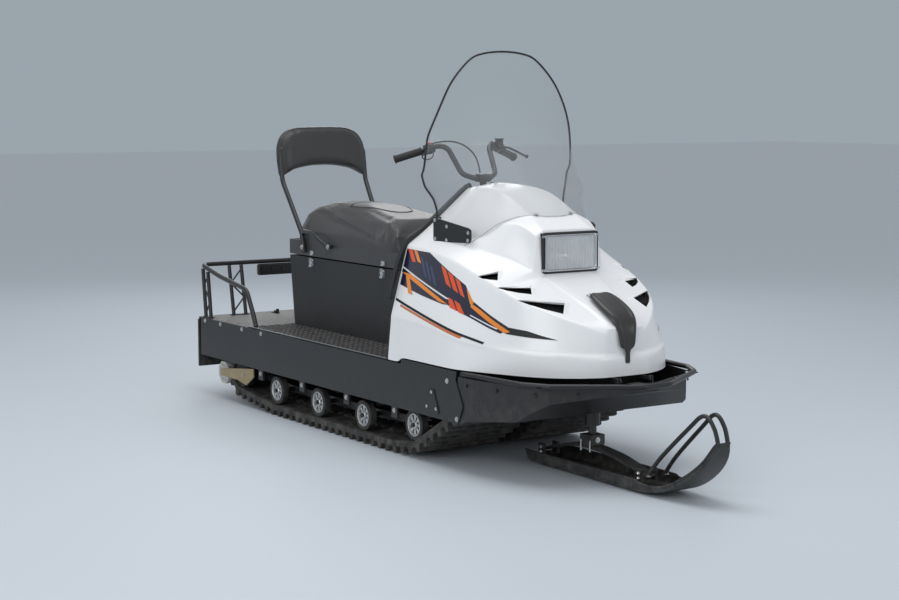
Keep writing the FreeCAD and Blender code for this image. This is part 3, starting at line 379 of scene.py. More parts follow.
def prism(shape, low, high):
    """A solid between two equal outlines of vertices."""
    shape.faces.new(high)
    shape.faces.new(low[::-1])
    for i in range(len(low)):
        j = (i + 1) % len(low)
        shape.faces.new((low[i], low[j], high[j], high[i]))


# the front corner of each skirt carries a small three-cornered cover on three bolts
cover = bmesh.new()
for side in (-1, 1):
    prism(cover, *[[cover.verts.new((x, side * depth, z)) for x, z in [
        (0.455, 0.308), (0.483, 0.308), (0.522, 0.222), (0.512, 0.214), (0.424, 0.216),
        (0.418, 0.226)]] for depth in (skirt_face, 0.4585)])
outward(cover)
finished("skirt_covers", cover, black_steel, "chassis")

# ---------------------------------------------------------------- footboards
# Each running board is a steel tread plate, punched so that rings of metal stand up to grip a
# boot. A bare, scuffed aluminium strip is riveted along the outer edge; its brightness there is a
# painted highlight, standing in for the light caught along that edge.
tread_black = finish("tread_black", (0.022, 0.022, 0.024), 0.55, grain=500, depth=0.4, scuffs=0.8,
    bare=(0.20, 0.20, 0.20), grit=0.35, grit_top=0.9)
paint_nodes(tread_black, "footboards")
ring_tree, r_in, r_out = geometry_tree("tread_rings", [
    ("Ring Radius", "Float"), ("Lip", "Float"), ("Finish", "Material")])
r_circle, r_lip = [put(ring_tree, "GeometryNodeCurvePrimitiveCircle", {
    "Resolution": corners, "Radius": r_in[radius]}).outputs[0]
    for corners, radius in ((10, "Ring Radius"), (4, "Lip"))]
r_ring = put(ring_tree, "GeometryNodeCurveToMesh", {0: r_circle, 1: r_lip})
close_tree(ring_tree, r_in, r_out, mesh_points(ring_tree, r_in), r_ring.outputs[0])
board_low, board_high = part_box("footboards")
ring_spots = []
for side in (-1, 1):
    for row in range(6):
        for step in range(30):
            x = board_low.x + 0.030 + 0.0405 * step + (0.020 if row % 2 else 0)
            if x < board_high.x - 0.02:
                ring_spots.append(((x, side * (0.235 + 0.038 * row), board_high.z + 0.0005), (0, 0, 1)))
grown("tread_rings", seeds("tread_rings", ring_spots), ring_tree, {
    "Ring Radius": 0.0105, "Lip": 0.0028, "Finish": tread_black}, "chassis")

# the strip's bright metal is a painted highlight along the boards' outer edges; the scuffs on it are wear
worn_highlight_strip = finish("worn_aluminium_strip_painted_highlight", (0.34, 0.35, 0.36), 0.38, metal=0.9, grain=400, scuffs=0.7,
    bare=(0.10, 0.10, 0.10), grit=0.3, grit_top=1.0)


def add_block(shape, size, spot, bevel=0.0, turn=None):
    """A block with eased edges, centred at a spot and maybe turned, added to a bmesh."""
    made = bmesh.ops.create_cube(shape, size=1.0)["verts"]
    bmesh.ops.scale(shape, vec=size, verts=made)
    if bevel:
        edges = list({e for v in made for e in v.link_edges})
        cut = bmesh.ops.bevel(shape, geom=edges, offset=bevel, segments=2, affect="EDGES")
        made = list({v for f in cut["faces"] for v in f.verts} | {v for v in made if v.is_valid})
    if turn is not None:
        bmesh.ops.rotate(shape, cent=(0, 0, 0), matrix=turn, verts=made)
    bmesh.ops.translate(shape, vec=spot, verts=made)
    return made


def ease_edges(shape, width, steps=2):
    bmesh.ops.bevel(shape, geom=shape.edges[:], offset=width, segments=steps, affect="EDGES")


# one painted highlight strip along each board's outer edge
strips = bmesh.new()
for side in (-1, 1):
    add_block(strips, (1.250, 0.007, 0.0035), (-0.500, side * 0.4505, board_high.z + 0.0035))
ease_edges(strips, 0.0012)
finished("tread_edge_strips", strips, worn_highlight_strip, "chassis")

# ---------------------------------------------------------------- belly pan and bumper
# The belly pan is one deep tray of black moulded plastic. The bumper is a bent steel tube with a
# flat strip of rubber pressed on its front, on short gussets welded to the pan's frame.
belly_plastic = finish("belly_pan_plastic", (0.017, 0.017, 0.018), 0.46, grain=650, pebble=0.7,
    depth=0.3, scuffs=0.5, bare=(0.09, 0.09, 0.09), grit=0.25, grit_top=0.45)
paint_nodes(belly_plastic, "belly_pan")
paint_nodes(black_steel, "front_bumper")
pan_bolts = []
for side in (-1, 1):
    for x, y, nx, ny in [(0.700, 0.4485, 0.02, 1), (0.860, 0.4215, 0.18, 1),
                         (1.025, 0.3645, 0.7, 0.7), (1.108, 0.2230, 0.9, 0.4)]:
        pan_bolts.append(((x, side * y, 0.350), (nx, side * ny, 0.0)))
bolts("pan_bolts", pan_bolts, "chassis", 0.006, washer=0.009, material=black_steel)

# ---------------------------------------------------------------- engine
# Under the hood sits one plain block of sand-cast alloy that stands for the engine.
cast_alloy = finish("sand_cast_alloy", (0.33, 0.33, 0.32), 0.62, metal=0.85, grain=260, pebble=0.6,
    depth=0.6, bare=(0.12, 0.11, 0.10), grit=0.3, grit_top=0.9)
paint_nodes(cast_alloy, "engine_block")

# ---------------------------------------------------------------- tracks
# Each track is an endless belt of reinforced black rubber with moulded lugs across it. Pressed
# steel clips grip the belt between its drive windows and run against the slide rails.
track_rubber = finish("track_rubber", (0.022, 0.021, 0.020), 0.72, grain=420, pebble=0.6, depth=0.5,
    scuffs=0.4, bare=(0.07, 0.065, 0.06), grit=0.45, grit_top=0.42)
paint_nodes(track_rubber, "track_right", "track_left")
along_tree, a_in, a_out = geometry_tree("repeated_along", [
    ("Shape", "Object"), ("Pitch", "Float"), ("Side", "Vector"), ("Finish", "Material")])
a_line = put(along_tree, "GeometryNodeMeshToCurve", {0: a_in["Geometry"]})
a_even = put(along_tree, "GeometryNodeResampleCurve", {
    "Curve": a_line.outputs[0], "Length": a_in["Pitch"]}, mode="LENGTH")
a_way = put(along_tree, "GeometryNodeInputTangent").outputs[0]
a_out_way = put(along_tree, "ShaderNodeVectorMath", {0: a_way, 1: a_in["Side"]},
                operation="CROSS_PRODUCT")
a_first = put(along_tree, "FunctionNodeAlignRotationToVector", {"Vector": a_way}, axis="X")
a_second = put(along_tree, "FunctionNodeAlignRotationToVector", {
    "Rotation": a_first.outputs[0], "Vector": a_out_way.outputs[0]}, axis="Z", pivot_axis="X")
a_shape = put(along_tree, "GeometryNodeObjectInfo", {"Object": a_in["Shape"]})
close_tree(along_tree, a_in, a_out, a_even.outputs[0], a_shape.outputs["Geometry"],
           a_second.outputs[0])


def grown_from(name, seed_mesh, tree, shape, values, body):
    """Runs a tree that copies a small shape, and clears the shape away."""
    master = link_object(name + "_one", bpy.data.meshes.new(name + "_one"))
    shape.to_mesh(master.data)
    shape.free()
    made = grown(name, seed_mesh, tree, {"Shape": master, **values}, body)
    bpy.data.objects.remove(master)
    return made


def repeated(name, lines, shape, pitch, side, material, body):
    """Repeats a small shape along lines of points. The shape's X runs along, its Z outwards."""
    mesh = bpy.data.meshes.new(name)
    points, edges = [], []
    for line, closed in lines:
        start = len(points)
        points += [tuple(p) for p in line]
        edges += [(start + i, start + i + 1) for i in range(len(line) - 1)]
        if closed:
            edges.append((len(points) - 1, start))
    mesh.from_pydata(points, edges, [])
    return grown_from(name, mesh, along_tree, shape, {"Pitch": pitch, "Side": side, "Finish": material},
        body)


# the belt's inner face wraps five circles: idler, first wheel, slide, last wheel and sprocket
belt_circles = [(-1.232, 0.150, 0.066), (-0.887, 0.114, 0.065), (0.120, 0.114, 0.065),
                (0.284, 0.134, 0.065), (0.616, 0.300, 0.048)]
cloud = []
for cx, cz, radius in belt_circles:
    for step in range(72):
        turn = math.tau * step / 72
        cloud.append((cx + radius * math.cos(turn), cz + radius * math.sin(turn)))
cloud.sort()
belt_line = []
for flip in (1, -1):
    part = []
    for p in cloud[::flip]:
        while len(part) > 1 and ((part[-1][0] - part[-2][0]) * (p[1] - part[-2][1])
                - (part[-1][1] - part[-2][1]) * (p[0] - part[-2][0])) <= 0:
            part.pop()
        part.append(p)
    belt_line += part[:-1]
clip = bmesh.new()
add_block(clip, (0.026, 0.030, 0.003), (0, 0, 0))
ease_edges(clip, 0.0014, 1)
for x in (-0.008, 0.008):
    add_block(clip, (0.004, 0.026, 0.008), (x, 0, 0.004))
clip_steel = finish("track_clip_steel", (0.42, 0.41, 0.39), 0.35, metal=1.0, grain=300, scuffs=0.5,
    bare=(0.16, 0.11, 0.08), grit=0.4, grit_top=0.4)
clip_lines = [([(x, y, z) for x, z in belt_line], True) for y in (-0.300, -0.194, 0.194, 0.300)]
repeated("track_clips", clip_lines, clip, 0.0639, (0, 1, 0), clip_steel, "chassis")

# ---------------------------------------------------------------- road wheels
# Cast alloy wheels with rounded windows between their spokes, each with a black rubber tyre and
# a sealed bearing under a steel cap. Every axle has four of them, and solid idlers at the back.
wheel_alloy = finish("cast_wheel_alloy", (0.63, 0.64, 0.64), 0.33, metal=0.75, grain=240, depth=0.25,
    scuffs=0.5, bare=(0.20, 0.19, 0.18), grit=0.30, grit_top=0.3)
tyre_rubber = finish("tyre_rubber", (0.020, 0.020, 0.020), 0.66, grain=500, depth=0.4, scuffs=0.5,
    bare=(0.07, 0.07, 0.07), grit=0.35, grit_top=0.3)
turned_tree, t_in, t_out = geometry_tree("set_out", [("Shape", "Object"), ("Finish", "Material")])
t_shape = put(turned_tree, "GeometryNodeObjectInfo", {"Object": t_in["Shape"]})
close_tree(turned_tree, t_in, t_out, mesh_points(turned_tree, t_in),
           t_shape.outputs["Geometry"], stood_up(turned_tree))


def set_out(name, spots, shape, material, body):
    """Places a copy of a small shape at each spot, its Z along the spot's facing."""
    return grown_from(name, seeds(name, spots), turned_tree, shape, {"Finish": material}, body)


def turned(shape, profile, steps=40):
    """A closed ring turned about Z from a profile of (radius, height) points."""
    rows = []
    for step in range(steps):
        turn = math.tau * step / steps
        rows.append([shape.verts.new((r * math.cos(turn), r * math.sin(turn), h)) for r, h in profile])
    count = len(profile)
    for a in range(steps):
        row, following = rows[a], rows[(a + 1) % steps]
        for i in range(count):
            j = (i + 1) % count
            shape.faces.new((row[i], following[i], following[j], row[j]))
    outward(shape)


wheel_spots = []
for x, z in [(-0.887, 0.114), (-0.504, 0.114), (-0.117, 0.114), (0.284, 0.134)]:
    for side in (-1, 1):
        wheel_spots += [((x, side * 0.408, z), (0, side, 0)), ((x, side * 0.086, z), (0, side, 0))]
tyre = bmesh.new()
turned(tyre, [(0.0455, -0.015), (0.0600, -0.017), (0.0640, -0.0135), (0.0640, 0.0135),
              (0.0600, 0.017), (0.0455, 0.015)])
set_out("road_wheel_tyres", wheel_spots, tyre, tyre_rubber, "chassis")
rim = bmesh.new()
turned(rim, [(0.0395, -0.014), (0.0462, -0.0155), (0.0462, 0.0160), (0.0430, 0.0170),
             (0.0395, 0.0120)])
turned(rim, [(0.0100, -0.015), (0.0160, -0.015), (0.0175, 0.0130), (0.0150, 0.0165),
             (0.0100, 0.0165)], 24)
for spoke in range(8):
    made = add_block(rim, (0.027, 0.0075, 0.016), (0, 0, 0))
    for v in made:
        if v.co.x > 0:
            v.co.y *= 1.7
    bmesh.ops.translate(rim, vec=(0.0285, 0, 0.0015), verts=made)
    bmesh.ops.rotate(rim, cent=(0, 0, 0), matrix=Matrix.Rotation(math.tau * spoke / 8, 3, "Z"),
                     verts=made)
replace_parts(set_out("road_wheel_rims", wheel_spots, rim, wheel_alloy, "chassis"),
            "road_wheels")
cap = bmesh.new()
turned(cap, [(0.0001, -0.012), (0.0112, -0.012), (0.0112, 0.0150), (0.0085, 0.0185),
             (0.0001, 0.0195)], 20)
set_out("wheel_bearing_caps", wheel_spots, cap, zinc_bolt, "chassis")
paint_nodes(tyre_rubber, "rear_idlers")
paint_nodes(black_steel, "drive_axles", "track_carriers")

# ---------------------------------------------------------------- tail
# The rear deck is a grey painted sheet, rubbed by cargo. Below it hang a rubber snow flap, the
# plastic tail rollers with their zinc tension arms, and the steel tow tongue.
deck_grey = finish("rubbed_deck_grey", (0.17, 0.17, 0.165), 0.50, grain=350, depth=0.3, shade=0.25,
    scuffs=1.0, bare=(0.33, 0.32, 0.30), grit=0.5, grit_top=1.2)
paint_nodes(deck_grey, "rear_deck")
flap_rubber = finish("flap_rubber", (0.018, 0.018, 0.019), 0.60, grain=260, pebble=0.3, depth=0.5,
    bare=(0.06, 0.06, 0.06), grit=0.4, grit_top=0.4)
paint_nodes(flap_rubber, "rear_flap")
paint_nodes(black_steel, "tow_hitch")
roller_plastic = finish("roller_plastic", (0.55, 0.54, 0.50), 0.48, grain=300, depth=0.25, scuffs=0.5,
    bare=(0.28, 0.26, 0.23), grit=0.45, grit_top=0.3)
paint_nodes(roller_plastic, "tail_rollers")
arm_zinc = finish("yellow_zinc_arm", (0.46, 0.36, 0.20), 0.36, metal=0.9, grain=260, shade=0.3,
    scuffs=0.4, bare=(0.22, 0.20, 0.18), grit=0.4, grit_top=0.3)
paint_nodes(arm_zinc, "tension_arms")
roller_x, roller_z = -1.402, 0.133
roller_bolts, flap_bolts = [], []
for side in (-1, 1):
    roller_bolts.append(((roller_x, side * 0.4375, roller_z), (0, side, 0)))
    for step in range(8):
        turn = math.tau * (step + 0.5) / 8
        roller_bolts.append(((roller_x + 0.036 * math.cos(turn), side * 0.4370,
            roller_z + 0.036 * math.sin(turn)), (0, side, 0)))
    roller_bolts.append(((-1.180, side * 0.4450, 0.150), (0, side, 0)))
    flap_bolts += [((-1.650, side * y, 0.350), (-1, 0, 0)) for y in (0.130, 0.270, 0.410)]
bolts("roller_bolts", roller_bolts, "chassis", 0.0055, 0.004, 0.0078)
bolts("flap_bolts", flap_bolts, "chassis", 0.008, 0.005, 0.014)

# a spring catch for cargo straps is riveted to the deck's right half
catch = bmesh.new()
for size, spot in [((0.052, 0.022, 0.004), (-1.556, -0.075, 0.382)),
        ((0.030, 0.012, 0.010), (-1.548, -0.075, 0.388)),
        ((0.012, 0.012, 0.020), (-1.534, -0.075, 0.392))]:
    add_block(catch, size, spot)
ease_edges(catch, 0.0014)
finished("strap_catch", catch, black_steel, "chassis")
bolts("deck_rivets", [((x, y, 0.3800), (0, 0, 1)) for x in (-1.600, -1.490, -1.380, -1.270, -1.160)
                      for y in (-0.425, 0.425)], "chassis", 0.006, 0.002, 0.009, deck_grey)

# ---------------------------------------------------------------- cargo rack and tail lamp
# The rack is welded from round tube with rod trusses and powder coated with the frame. Under
# its rear rail hangs the lamp bar: a ribbed black housing with a red lens between two ambers.
rack_black = finish("rack_powder_coat", (0.020, 0.022, 0.025), 0.34, grain=900, depth=0.2, scuffs=0.4,
    bare=(0.20, 0.20, 0.20), grit=0.12, grit_top=0.6)
paint_nodes(rack_black, "rack_rail", "rack_posts")
feet = bmesh.new()
for side in (-1, 1):
    for x, y, z, long, wide in [(-1.557, 0.437, 0.3835, 0.086, 0.024),
            (-1.582, 0.2575, 0.3825, 0.030, 0.100), (-1.056, 0.437, 0.3835, 0.046, 0.024)]:
        add_block(feet, (long, wide, 0.004), (x, side * y, z))
ease_edges(feet, 0.0012)
finished("rack_feet", feet, rack_black, "chassis")

lamp_low, lamp_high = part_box("tail_lamp")
lamp_height = (lamp_low.z + lamp_high.z) / 2
lens_depth = 0.012
lamp_black = finish("lamp_housing_black", (0.018, 0.018, 0.018), 0.42, grain=500, depth=0.2)
housing = bmesh.new()
housing_long = lamp_high.x - lamp_low.x - lens_depth
add_block(housing, (housing_long, lamp_high.y - lamp_low.y, lamp_high.z - lamp_low.z),
          (lamp_high.x - housing_long / 2, 0, lamp_height))
ease_edges(housing, 0.005, 3)
for y in (-0.110, -0.055, 0.0, 0.055, 0.110):
    add_block(housing, (0.006, 0.036, 0.026), (lamp_high.x + 0.001, y, lamp_height))
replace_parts(finished("tail_lamp_housing", housing, lamp_black, "chassis"),
            "tail_lamp")


def lens_plastic(name, colour):
    """A moulded signal lens: glossy, deep coloured, with small cast prisms."""
    made = finish(name, colour, 0.18, grain=0.0, scuffs=0.1, bare=colour, grit=0.05, coat=0.6)
    tree, surface, place = inside(made)
    prisms = put(tree, "ShaderNodeTexVoronoi", {"Vector": place, "Scale": 240.0, "Randomness": 0.0},
                 distance="CHEBYCHEV")
    fill(tree, surface, {"Normal": bump(tree, prisms.outputs["Distance"], 0.6, 0.002)})
    return made


for label, y0, y1, colour in [("red", -0.070, 0.070, (0.50, 0.012, 0.010)),
        ("amber_right", -0.137, -0.074, (0.75, 0.22, 0.015)),
        ("amber_left", 0.074, 0.137, (0.75, 0.22, 0.015))]:
    lens = bmesh.new()
    add_block(lens, (0.016, y1 - y0, 0.045), (lamp_low.x + 0.008, (y0 + y1) / 2, lamp_height))
    ease_edges(lens, 0.004, 3)
    finished("tail_lens_" + label, lens, lens_plastic("tail_lens_" + label, colour), "chassis")

# ---------------------------------------------------------------- seat box
# A steel box in black textured paint with a lift-up lid frame. Two over-centre latches of
# polished steel are riveted at its right edge: a lever, a wire loop and a keeper on the lid.
box_paint = finish("seat_box_texture_paint", (0.019, 0.020, 0.022), 0.48, grain=1100, pebble=0.8,
    depth=0.35, scuffs=0.25, bare=(0.10, 0.10, 0.10), grit=0.12, grit_top=0.7)
paint_nodes(box_paint, "seat_box")


def smooth_line(points, closed=False, steps=8):
    """Points along a Catmull-Rom curve through the given ones."""
    points = [Vector(p) for p in points]
    count = len(points)
    line = []
    for i in range(count if closed else count - 1):
        around = [points[(i + k) % count] if closed else points[min(max(i + k, 0), count - 1)]
                  for k in (-1, 0, 1, 2)]
        for step in range(steps):
            t = step / steps
            line.append(0.5 * (2 * around[1] + (around[2] - around[0]) * t
                + (2 * around[0] - 5 * around[1] + 4 * around[2] - around[3]) * t * t
                + (3 * around[1] - around[0] - 3 * around[2] + around[3]) * t ** 3))
    if not closed:
        line.append(points[-1])
    return line


def round_line(name, radius, sides=3):
    """An empty curve that is drawn as a round tube with closed ends."""
    curve = bpy.data.curves.new(name, "CURVE")
    curve.dimensions = "3D"
    curve.bevel_depth = radius
    curve.bevel_resolution = sides
    curve.use_fill_caps = True
    return curve


def add_spline(curve, kind, line):
    spline = curve.splines.new(kind)
    spline.points.add(len(line) - 1)
    for point, spot in zip(spline.points, line):
        point.co = (*spot, 1)
    return spline


def tube_mesh(name, lines, radius, closed=False, sides=3):
    """Round tubes along lines of points, as one mesh."""
    curve = round_line(name, radius, sides)
    for line in lines:
        add_spline(curve, "POLY", line).use_cyclic_u = closed
    made = link_object(name, curve)
    mesh = bpy.data.meshes.new_from_object(made.evaluated_get(
        bpy.context.evaluated_depsgraph_get()))
    bpy.data.objects.remove(made)
    return mesh


def tubes(name, lines, radius, material, body, slot, **kind):
    return finished(name, tube_mesh(name, lines, radius, **kind), material, body)


latch_chrome = finish("latch_chrome", (0.72, 0.72, 0.73), 0.16, metal=1.0, grain=200, depth=0.05,
    shade=0.05, scuffs=0.4, bare=(0.45, 0.44, 0.42), grit=0.1, grit_top=0.8)
latch, keeper = bmesh.new(), bmesh.new()
latch_wires, latch_rivets = [], []
for x in (-0.934, -0.303):
    add_block(latch, (0.032, 0.0025, 0.034), (x, -0.2115, 0.682), 0.0008)
    add_block(latch, (0.021, 0.005, 0.022), (x, -0.2160, 0.680), 0.0016)
    add_block(latch, (0.025, 0.004, 0.009), (x, -0.2195, 0.668), 0.0014)
    latch_wires += [[(x + dx, -0.2175, 0.680), (x + dx, -0.2190, 0.692), (x + dx, -0.2175, 0.703)]
                    for dx in (-0.011, 0.011)]
    latch_wires.append([(x - 0.013, -0.2165, 0.703), (x + 0.013, -0.2165, 0.703)])
    latch_rivets += [((x + dx, -0.2127, 0.692), (0, -1, 0)) for dx in (-0.012, 0.012)]
    add_block(keeper, (0.030, 0.003, 0.020), (x, -0.2100, 0.727), 0.0009)
    add_block(keeper, (0.028, 0.007, 0.004), (x, -0.2130, 0.719), 0.0012)
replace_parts(finished("seat_latch_plates", latch, latch_chrome, "chassis"),
            "seat_latches")
tubes("seat_latch_loops", latch_wires, 0.0013, latch_chrome, "chassis", "latch_chrome")
bolts("seat_latch_rivets", latch_rivets, "chassis", 0.0025, 0.001, 0.0035, latch_chrome)
finished("seat_latch_keepers", keeper, latch_chrome, "seat")

# ---------------------------------------------------------------- saddle
# A long foam saddle under black vinyl. Its crown runs down to the front between two sewn creases,
# its rear top carries a grey insert, and the cover is pulled down and stapled under the lid.


def vinyl(name, colour, rough):
    """Coated seat cloth: leather-like pebbles, faint wrinkles and a soft sheen."""
    made = finish(name, colour, rough, grain=620, pebble=0.85, depth=0.45, shade=0.12, scuffs=0.12,
                  bare=tuple(c * 2.2 for c in colour), grit=0.04, grit_top=1.2, coat=0.12, sheen=0.15)
    tree, surface, place = inside(made)
    first = surface.inputs["Normal"].links[0].from_socket
    folds = noise(tree, place, 9.0, warp=0.6)
    fill(tree, surface, {"Normal": bump(tree, folds, 0.22, 0.012, Normal=first)})
    return made


seat_vinyl = vinyl("seat_vinyl_black", (0.024, 0.024, 0.025), 0.42)
insert_vinyl = vinyl("seat_vinyl_grey", (0.125, 0.125, 0.13), 0.50)
paint_nodes(seat_vinyl, "seat_base")


def worked(made, kind, **settings):
    """Adds a modifier to a piece and bakes it into the mesh."""
    step = made.modifiers.new(kind.lower(), kind)
    for key, value in settings.items():
        setattr(step, key, value)
    return settled(made)


def stuffed(name, shape, draw_in, voxel, cap, held_below, material):
    """A pad's mesh drawn in, evened to small quads, blown up like a stuffed cover, and capped."""
    bmesh.ops.remove_doubles(shape, verts=shape.verts, dist=1e-5)
    shape.normal_update()
    for vert, way in [(v, v.normal.copy()) for v in shape.verts]:
        vert.co -= way * draw_in
    made = worked(finished(name, shape, material, None), "REMESH", mode="VOXEL", voxel_size=voxel)
    mesh = made.data
    held = made.vertex_groups.new(name="held")
    held.add([v.index for v in mesh.vertices if v.co.z < held_below], 1.0, "REPLACE")
    start = [v.co.copy() for v in mesh.vertices]
    cover = made.modifiers.new("cover", "CLOTH")
    cover.settings.quality = 4
    cover.settings.mass = 0.3
    cover.settings.use_pressure = True
    cover.settings.uniform_pressure_force = 4.0
    cover.settings.effector_weights.gravity = 0
    cover.settings.vertex_group_mass = "held"
    for frame_number in range(1, 21):
        scene.frame_set(frame_number)
    blown = made.evaluated_get(bpy.context.evaluated_depsgraph_get()).to_mesh()
    moved = [v.co.copy() for v in blown.vertices]
    made.modifiers.remove(cover)
    for vert, old, new in zip(mesh.vertices, start, moved):
        way = new - old
        vert.co = old + (way.normalized() * min(way.length, cap) if way.length else way)
    scene.frame_set(1)
    shape = bmesh.new()
    shape.from_mesh(mesh)
    for _ in range(4):
        bmesh.ops.smooth_vert(shape, verts=shape.verts, factor=0.5, use_axis_x=True, use_axis_y=True,
            use_axis_z=True)
    shape.to_mesh(mesh)
    shape.free()
    return made


def refined(made):
    """One subdivision of a stuffed pad, baked."""
    worked(made, "SUBSURF", levels=1, render_levels=1)
    made.data.shade_smooth()


saddle_shape = bmesh.new()
saddle_shape.from_mesh(nodes["seat_cushion"].data)
saddle = stuffed("saddle", saddle_shape, 0.004, 0.008, 0.009, 0.736, seat_vinyl)
# the sewn crease on each side, from the rear shoulder forwards and down
crease_line = [(-1.010, 0.926), (-0.860, 0.902), (-0.640, 0.868), (-0.430, 0.832), (-0.285, 0.804)]
for vert in saddle.data.vertices:
    x, z = vert.co.x, vert.co.z
    if abs(vert.co.y) > 0.09 and crease_line[0][0] - 0.03 < x < crease_line[-1][0] + 0.05:
        for (x0, z0), (x1, z1) in zip(crease_line, crease_line[1:]):
            if x0 <= x <= x1:
                off = z - (z0 + (z1 - z0) * (x - x0) / (x1 - x0))
                fade = min(1.0, (x - crease_line[0][0]) / 0.08, (crease_line[-1][0] - x) / 0.12)
                groove = 0.0085 * math.exp(-(off / 0.011) ** 2)
                roll = 0.0045 * math.exp(-((off - 0.032) / 0.020) ** 2)
                vert.co.y -= math.copysign(max(0.0, fade) * (groove - roll), vert.co.y)
refined(saddle)
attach(saddle, "seat")
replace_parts(saddle, "seat_cushion")


def skin_tree(made):
    """A search tree over a piece's surface."""
    mesh = made.data
    return BVHTree.FromPolygons([v.co for v in mesh.vertices], [p.vertices for p in mesh.polygons])


def laid_on(tree, points, way, lift):
    """Points dropped along a direction on to a surface, and lifted a little off it."""
    line = []
    for point in points:
        spot = tree.ray_cast(Vector(point), Vector(way))[0]
        if spot:
            line.append(spot - Vector(way).normalized() * lift)
    return line


saddle_skin = skin_tree(saddle)


def by_crease(side, drop, lift):
    """A line on the saddle's side, along the crease or as far as a drop from it."""
    crease = smooth_line([(x, 0, z) for x, z in crease_line[:-1]], steps=20)
    return laid_on(saddle_skin, [(x, side * 0.4, z + drop) for x, _, z in crease], (0, -side, 0), lift)


tubes("saddle_seam_welts", [by_crease(side, 0, -0.0004) for side in (-1, 1)], 0.0019, seat_vinyl,
      "seat", "seat_vinyl")
stitch = bmesh.new()
add_block(stitch, (0.0052, 0.0011, 0.0011), (0, 0, 0.0004), 0.0004)
thread = finish("seat_thread", (0.030, 0.030, 0.031), 0.7, grain=2500, depth=0.4, sheen=0.3)
stitch_lines = [(by_crease(side, drop, 0.0002), False) for side in (-1, 1)
                for drop in (-0.0075, 0.0075)]
repeated("saddle_stitches", stitch_lines, stitch, 0.0075, (0, 0, 1), thread, "seat")


def patch(made, corners, axis, lift, toward):
    """A thin sheet cut from a piece's own surface inside a convex outline, raised a little.
    The outline is given on the two axes other than `axis`, and `toward` is the side it faces."""
    shape = bmesh.new()
    shape.from_mesh(made.data)
    others = [i for i in range(3) if i != axis]
    flat = [Vector(c) for c in corners]
    middle = sum(flat, Vector((0, 0))) / len(flat)
    low = [min(c[k] for c in corners) - 0.03 for k in (0, 1)]
    high = [max(c[k] for c in corners) + 0.03 for k in (0, 1)]
    away = [f for f in shape.faces if f.normal[axis] * toward < 0.08
            or any(not low[k] < f.calc_center_median()[others[k]] < high[k] for k in (0, 1))]
    bmesh.ops.delete(shape, geom=away, context="FACES")
    for a, b in zip(flat, flat[1:] + flat[:1]):
        out = Vector(((b - a).y, -(b - a).x))
        if (middle - a).dot(out) > 0:
            out = -out
        spot, way = Vector((0, 0, 0)), Vector((0, 0, 0))
        for k in (0, 1):
            spot[others[k]] = a[k]
            way[others[k]] = out[k]
        bmesh.ops.bisect_plane(shape, geom=shape.verts[:] + shape.edges[:] + shape.faces[:],
            plane_co=spot, plane_no=way, clear_outer=True, dist=1e-6)
    shape.normal_update()
    for vert, way in [(v, v.normal.copy()) for v in shape.verts]:
        vert.co += way * lift
    return shape


def patches(name, made, outlines, axis, lift, material, body, toward, mirror=False):
    """Several patches of one colour as one piece, on one side or on both."""
    whole = bpy.data.meshes.new(name)
    gathered = bmesh.new()
    for outline in outlines:
        part = patch(made, outline, axis, lift, toward)
        part.to_mesh(whole)
        part.free()
        gathered.from_mesh(whole)
        if mirror:
            start = len(gathered.verts)
            gathered.from_mesh(whole)
            gathered.verts.ensure_lookup_table()
            flipped = gathered.verts[start:]
            for vert in flipped:
                vert.co.y = -vert.co.y
            bmesh.ops.reverse_faces(gathered, faces=list({f for v in flipped for f in v.link_faces}))
    return finished(name, gathered, material, body)


insert_outline = [(-0.775, -0.080), (-0.755, -0.094), (-0.620, -0.088), (-0.490, -0.058), (-0.455, 0.0),
    (-0.490, 0.058), (-0.620, 0.088), (-0.755, 0.094), (-0.775, 0.080)]
patches("saddle_insert", saddle, [insert_outline], 2, 0.0012, insert_vinyl, "seat", 1)
insert_edge = laid_on(saddle_skin, [(x, y, 1.2) for x, y, _ in smooth_line(
    [(x, y, 0) for x, y in insert_outline], closed=True)], (0, 0, -1), 0.001)
tubes("saddle_insert_welt", [insert_edge], 0.0021, seat_vinyl, "seat", "seat_vinyl", closed=True)

# ---------------------------------------------------------------- backrest and grab handles
# A foam pad in the same vinyl, pulled over a bent steel tube. Its legs and the two grab handles
# bolt to the lid's sides with plated bolts.
lean = math.radians(9)
pad_right = [(0.000, 0.046), (0.070, 0.043), (0.150, 0.029), (0.205, 0.011), (0.238, 0.000),
    (0.247, 0.035), (0.249, 0.105), (0.240, 0.165), (0.210, 0.212), (0.160, 0.238), (0.085, 0.247)]
pad_rim = smooth_line([(y, z, 0) for y, z in pad_right] + [(-y, z, 0) for y, z in pad_right[:0:-1]],
    closed=True, steps=5)


def on_pad(y, z, ahead):
    """A place on the leaning pad: its side, its height and how far in front of its middle."""
    return Vector((-1.199 - z * math.sin(lean) + ahead * math.cos(lean), y,
                   1.064 + z * math.cos(lean) + ahead * math.sin(lean)))


def pad_spot(p, share, ahead):
    """A place on the pad, at a share of the way out from its heart to a point of its rim."""
    heart = 0.135
    return on_pad(p.x * share, heart + (p.y - heart) * share, ahead)


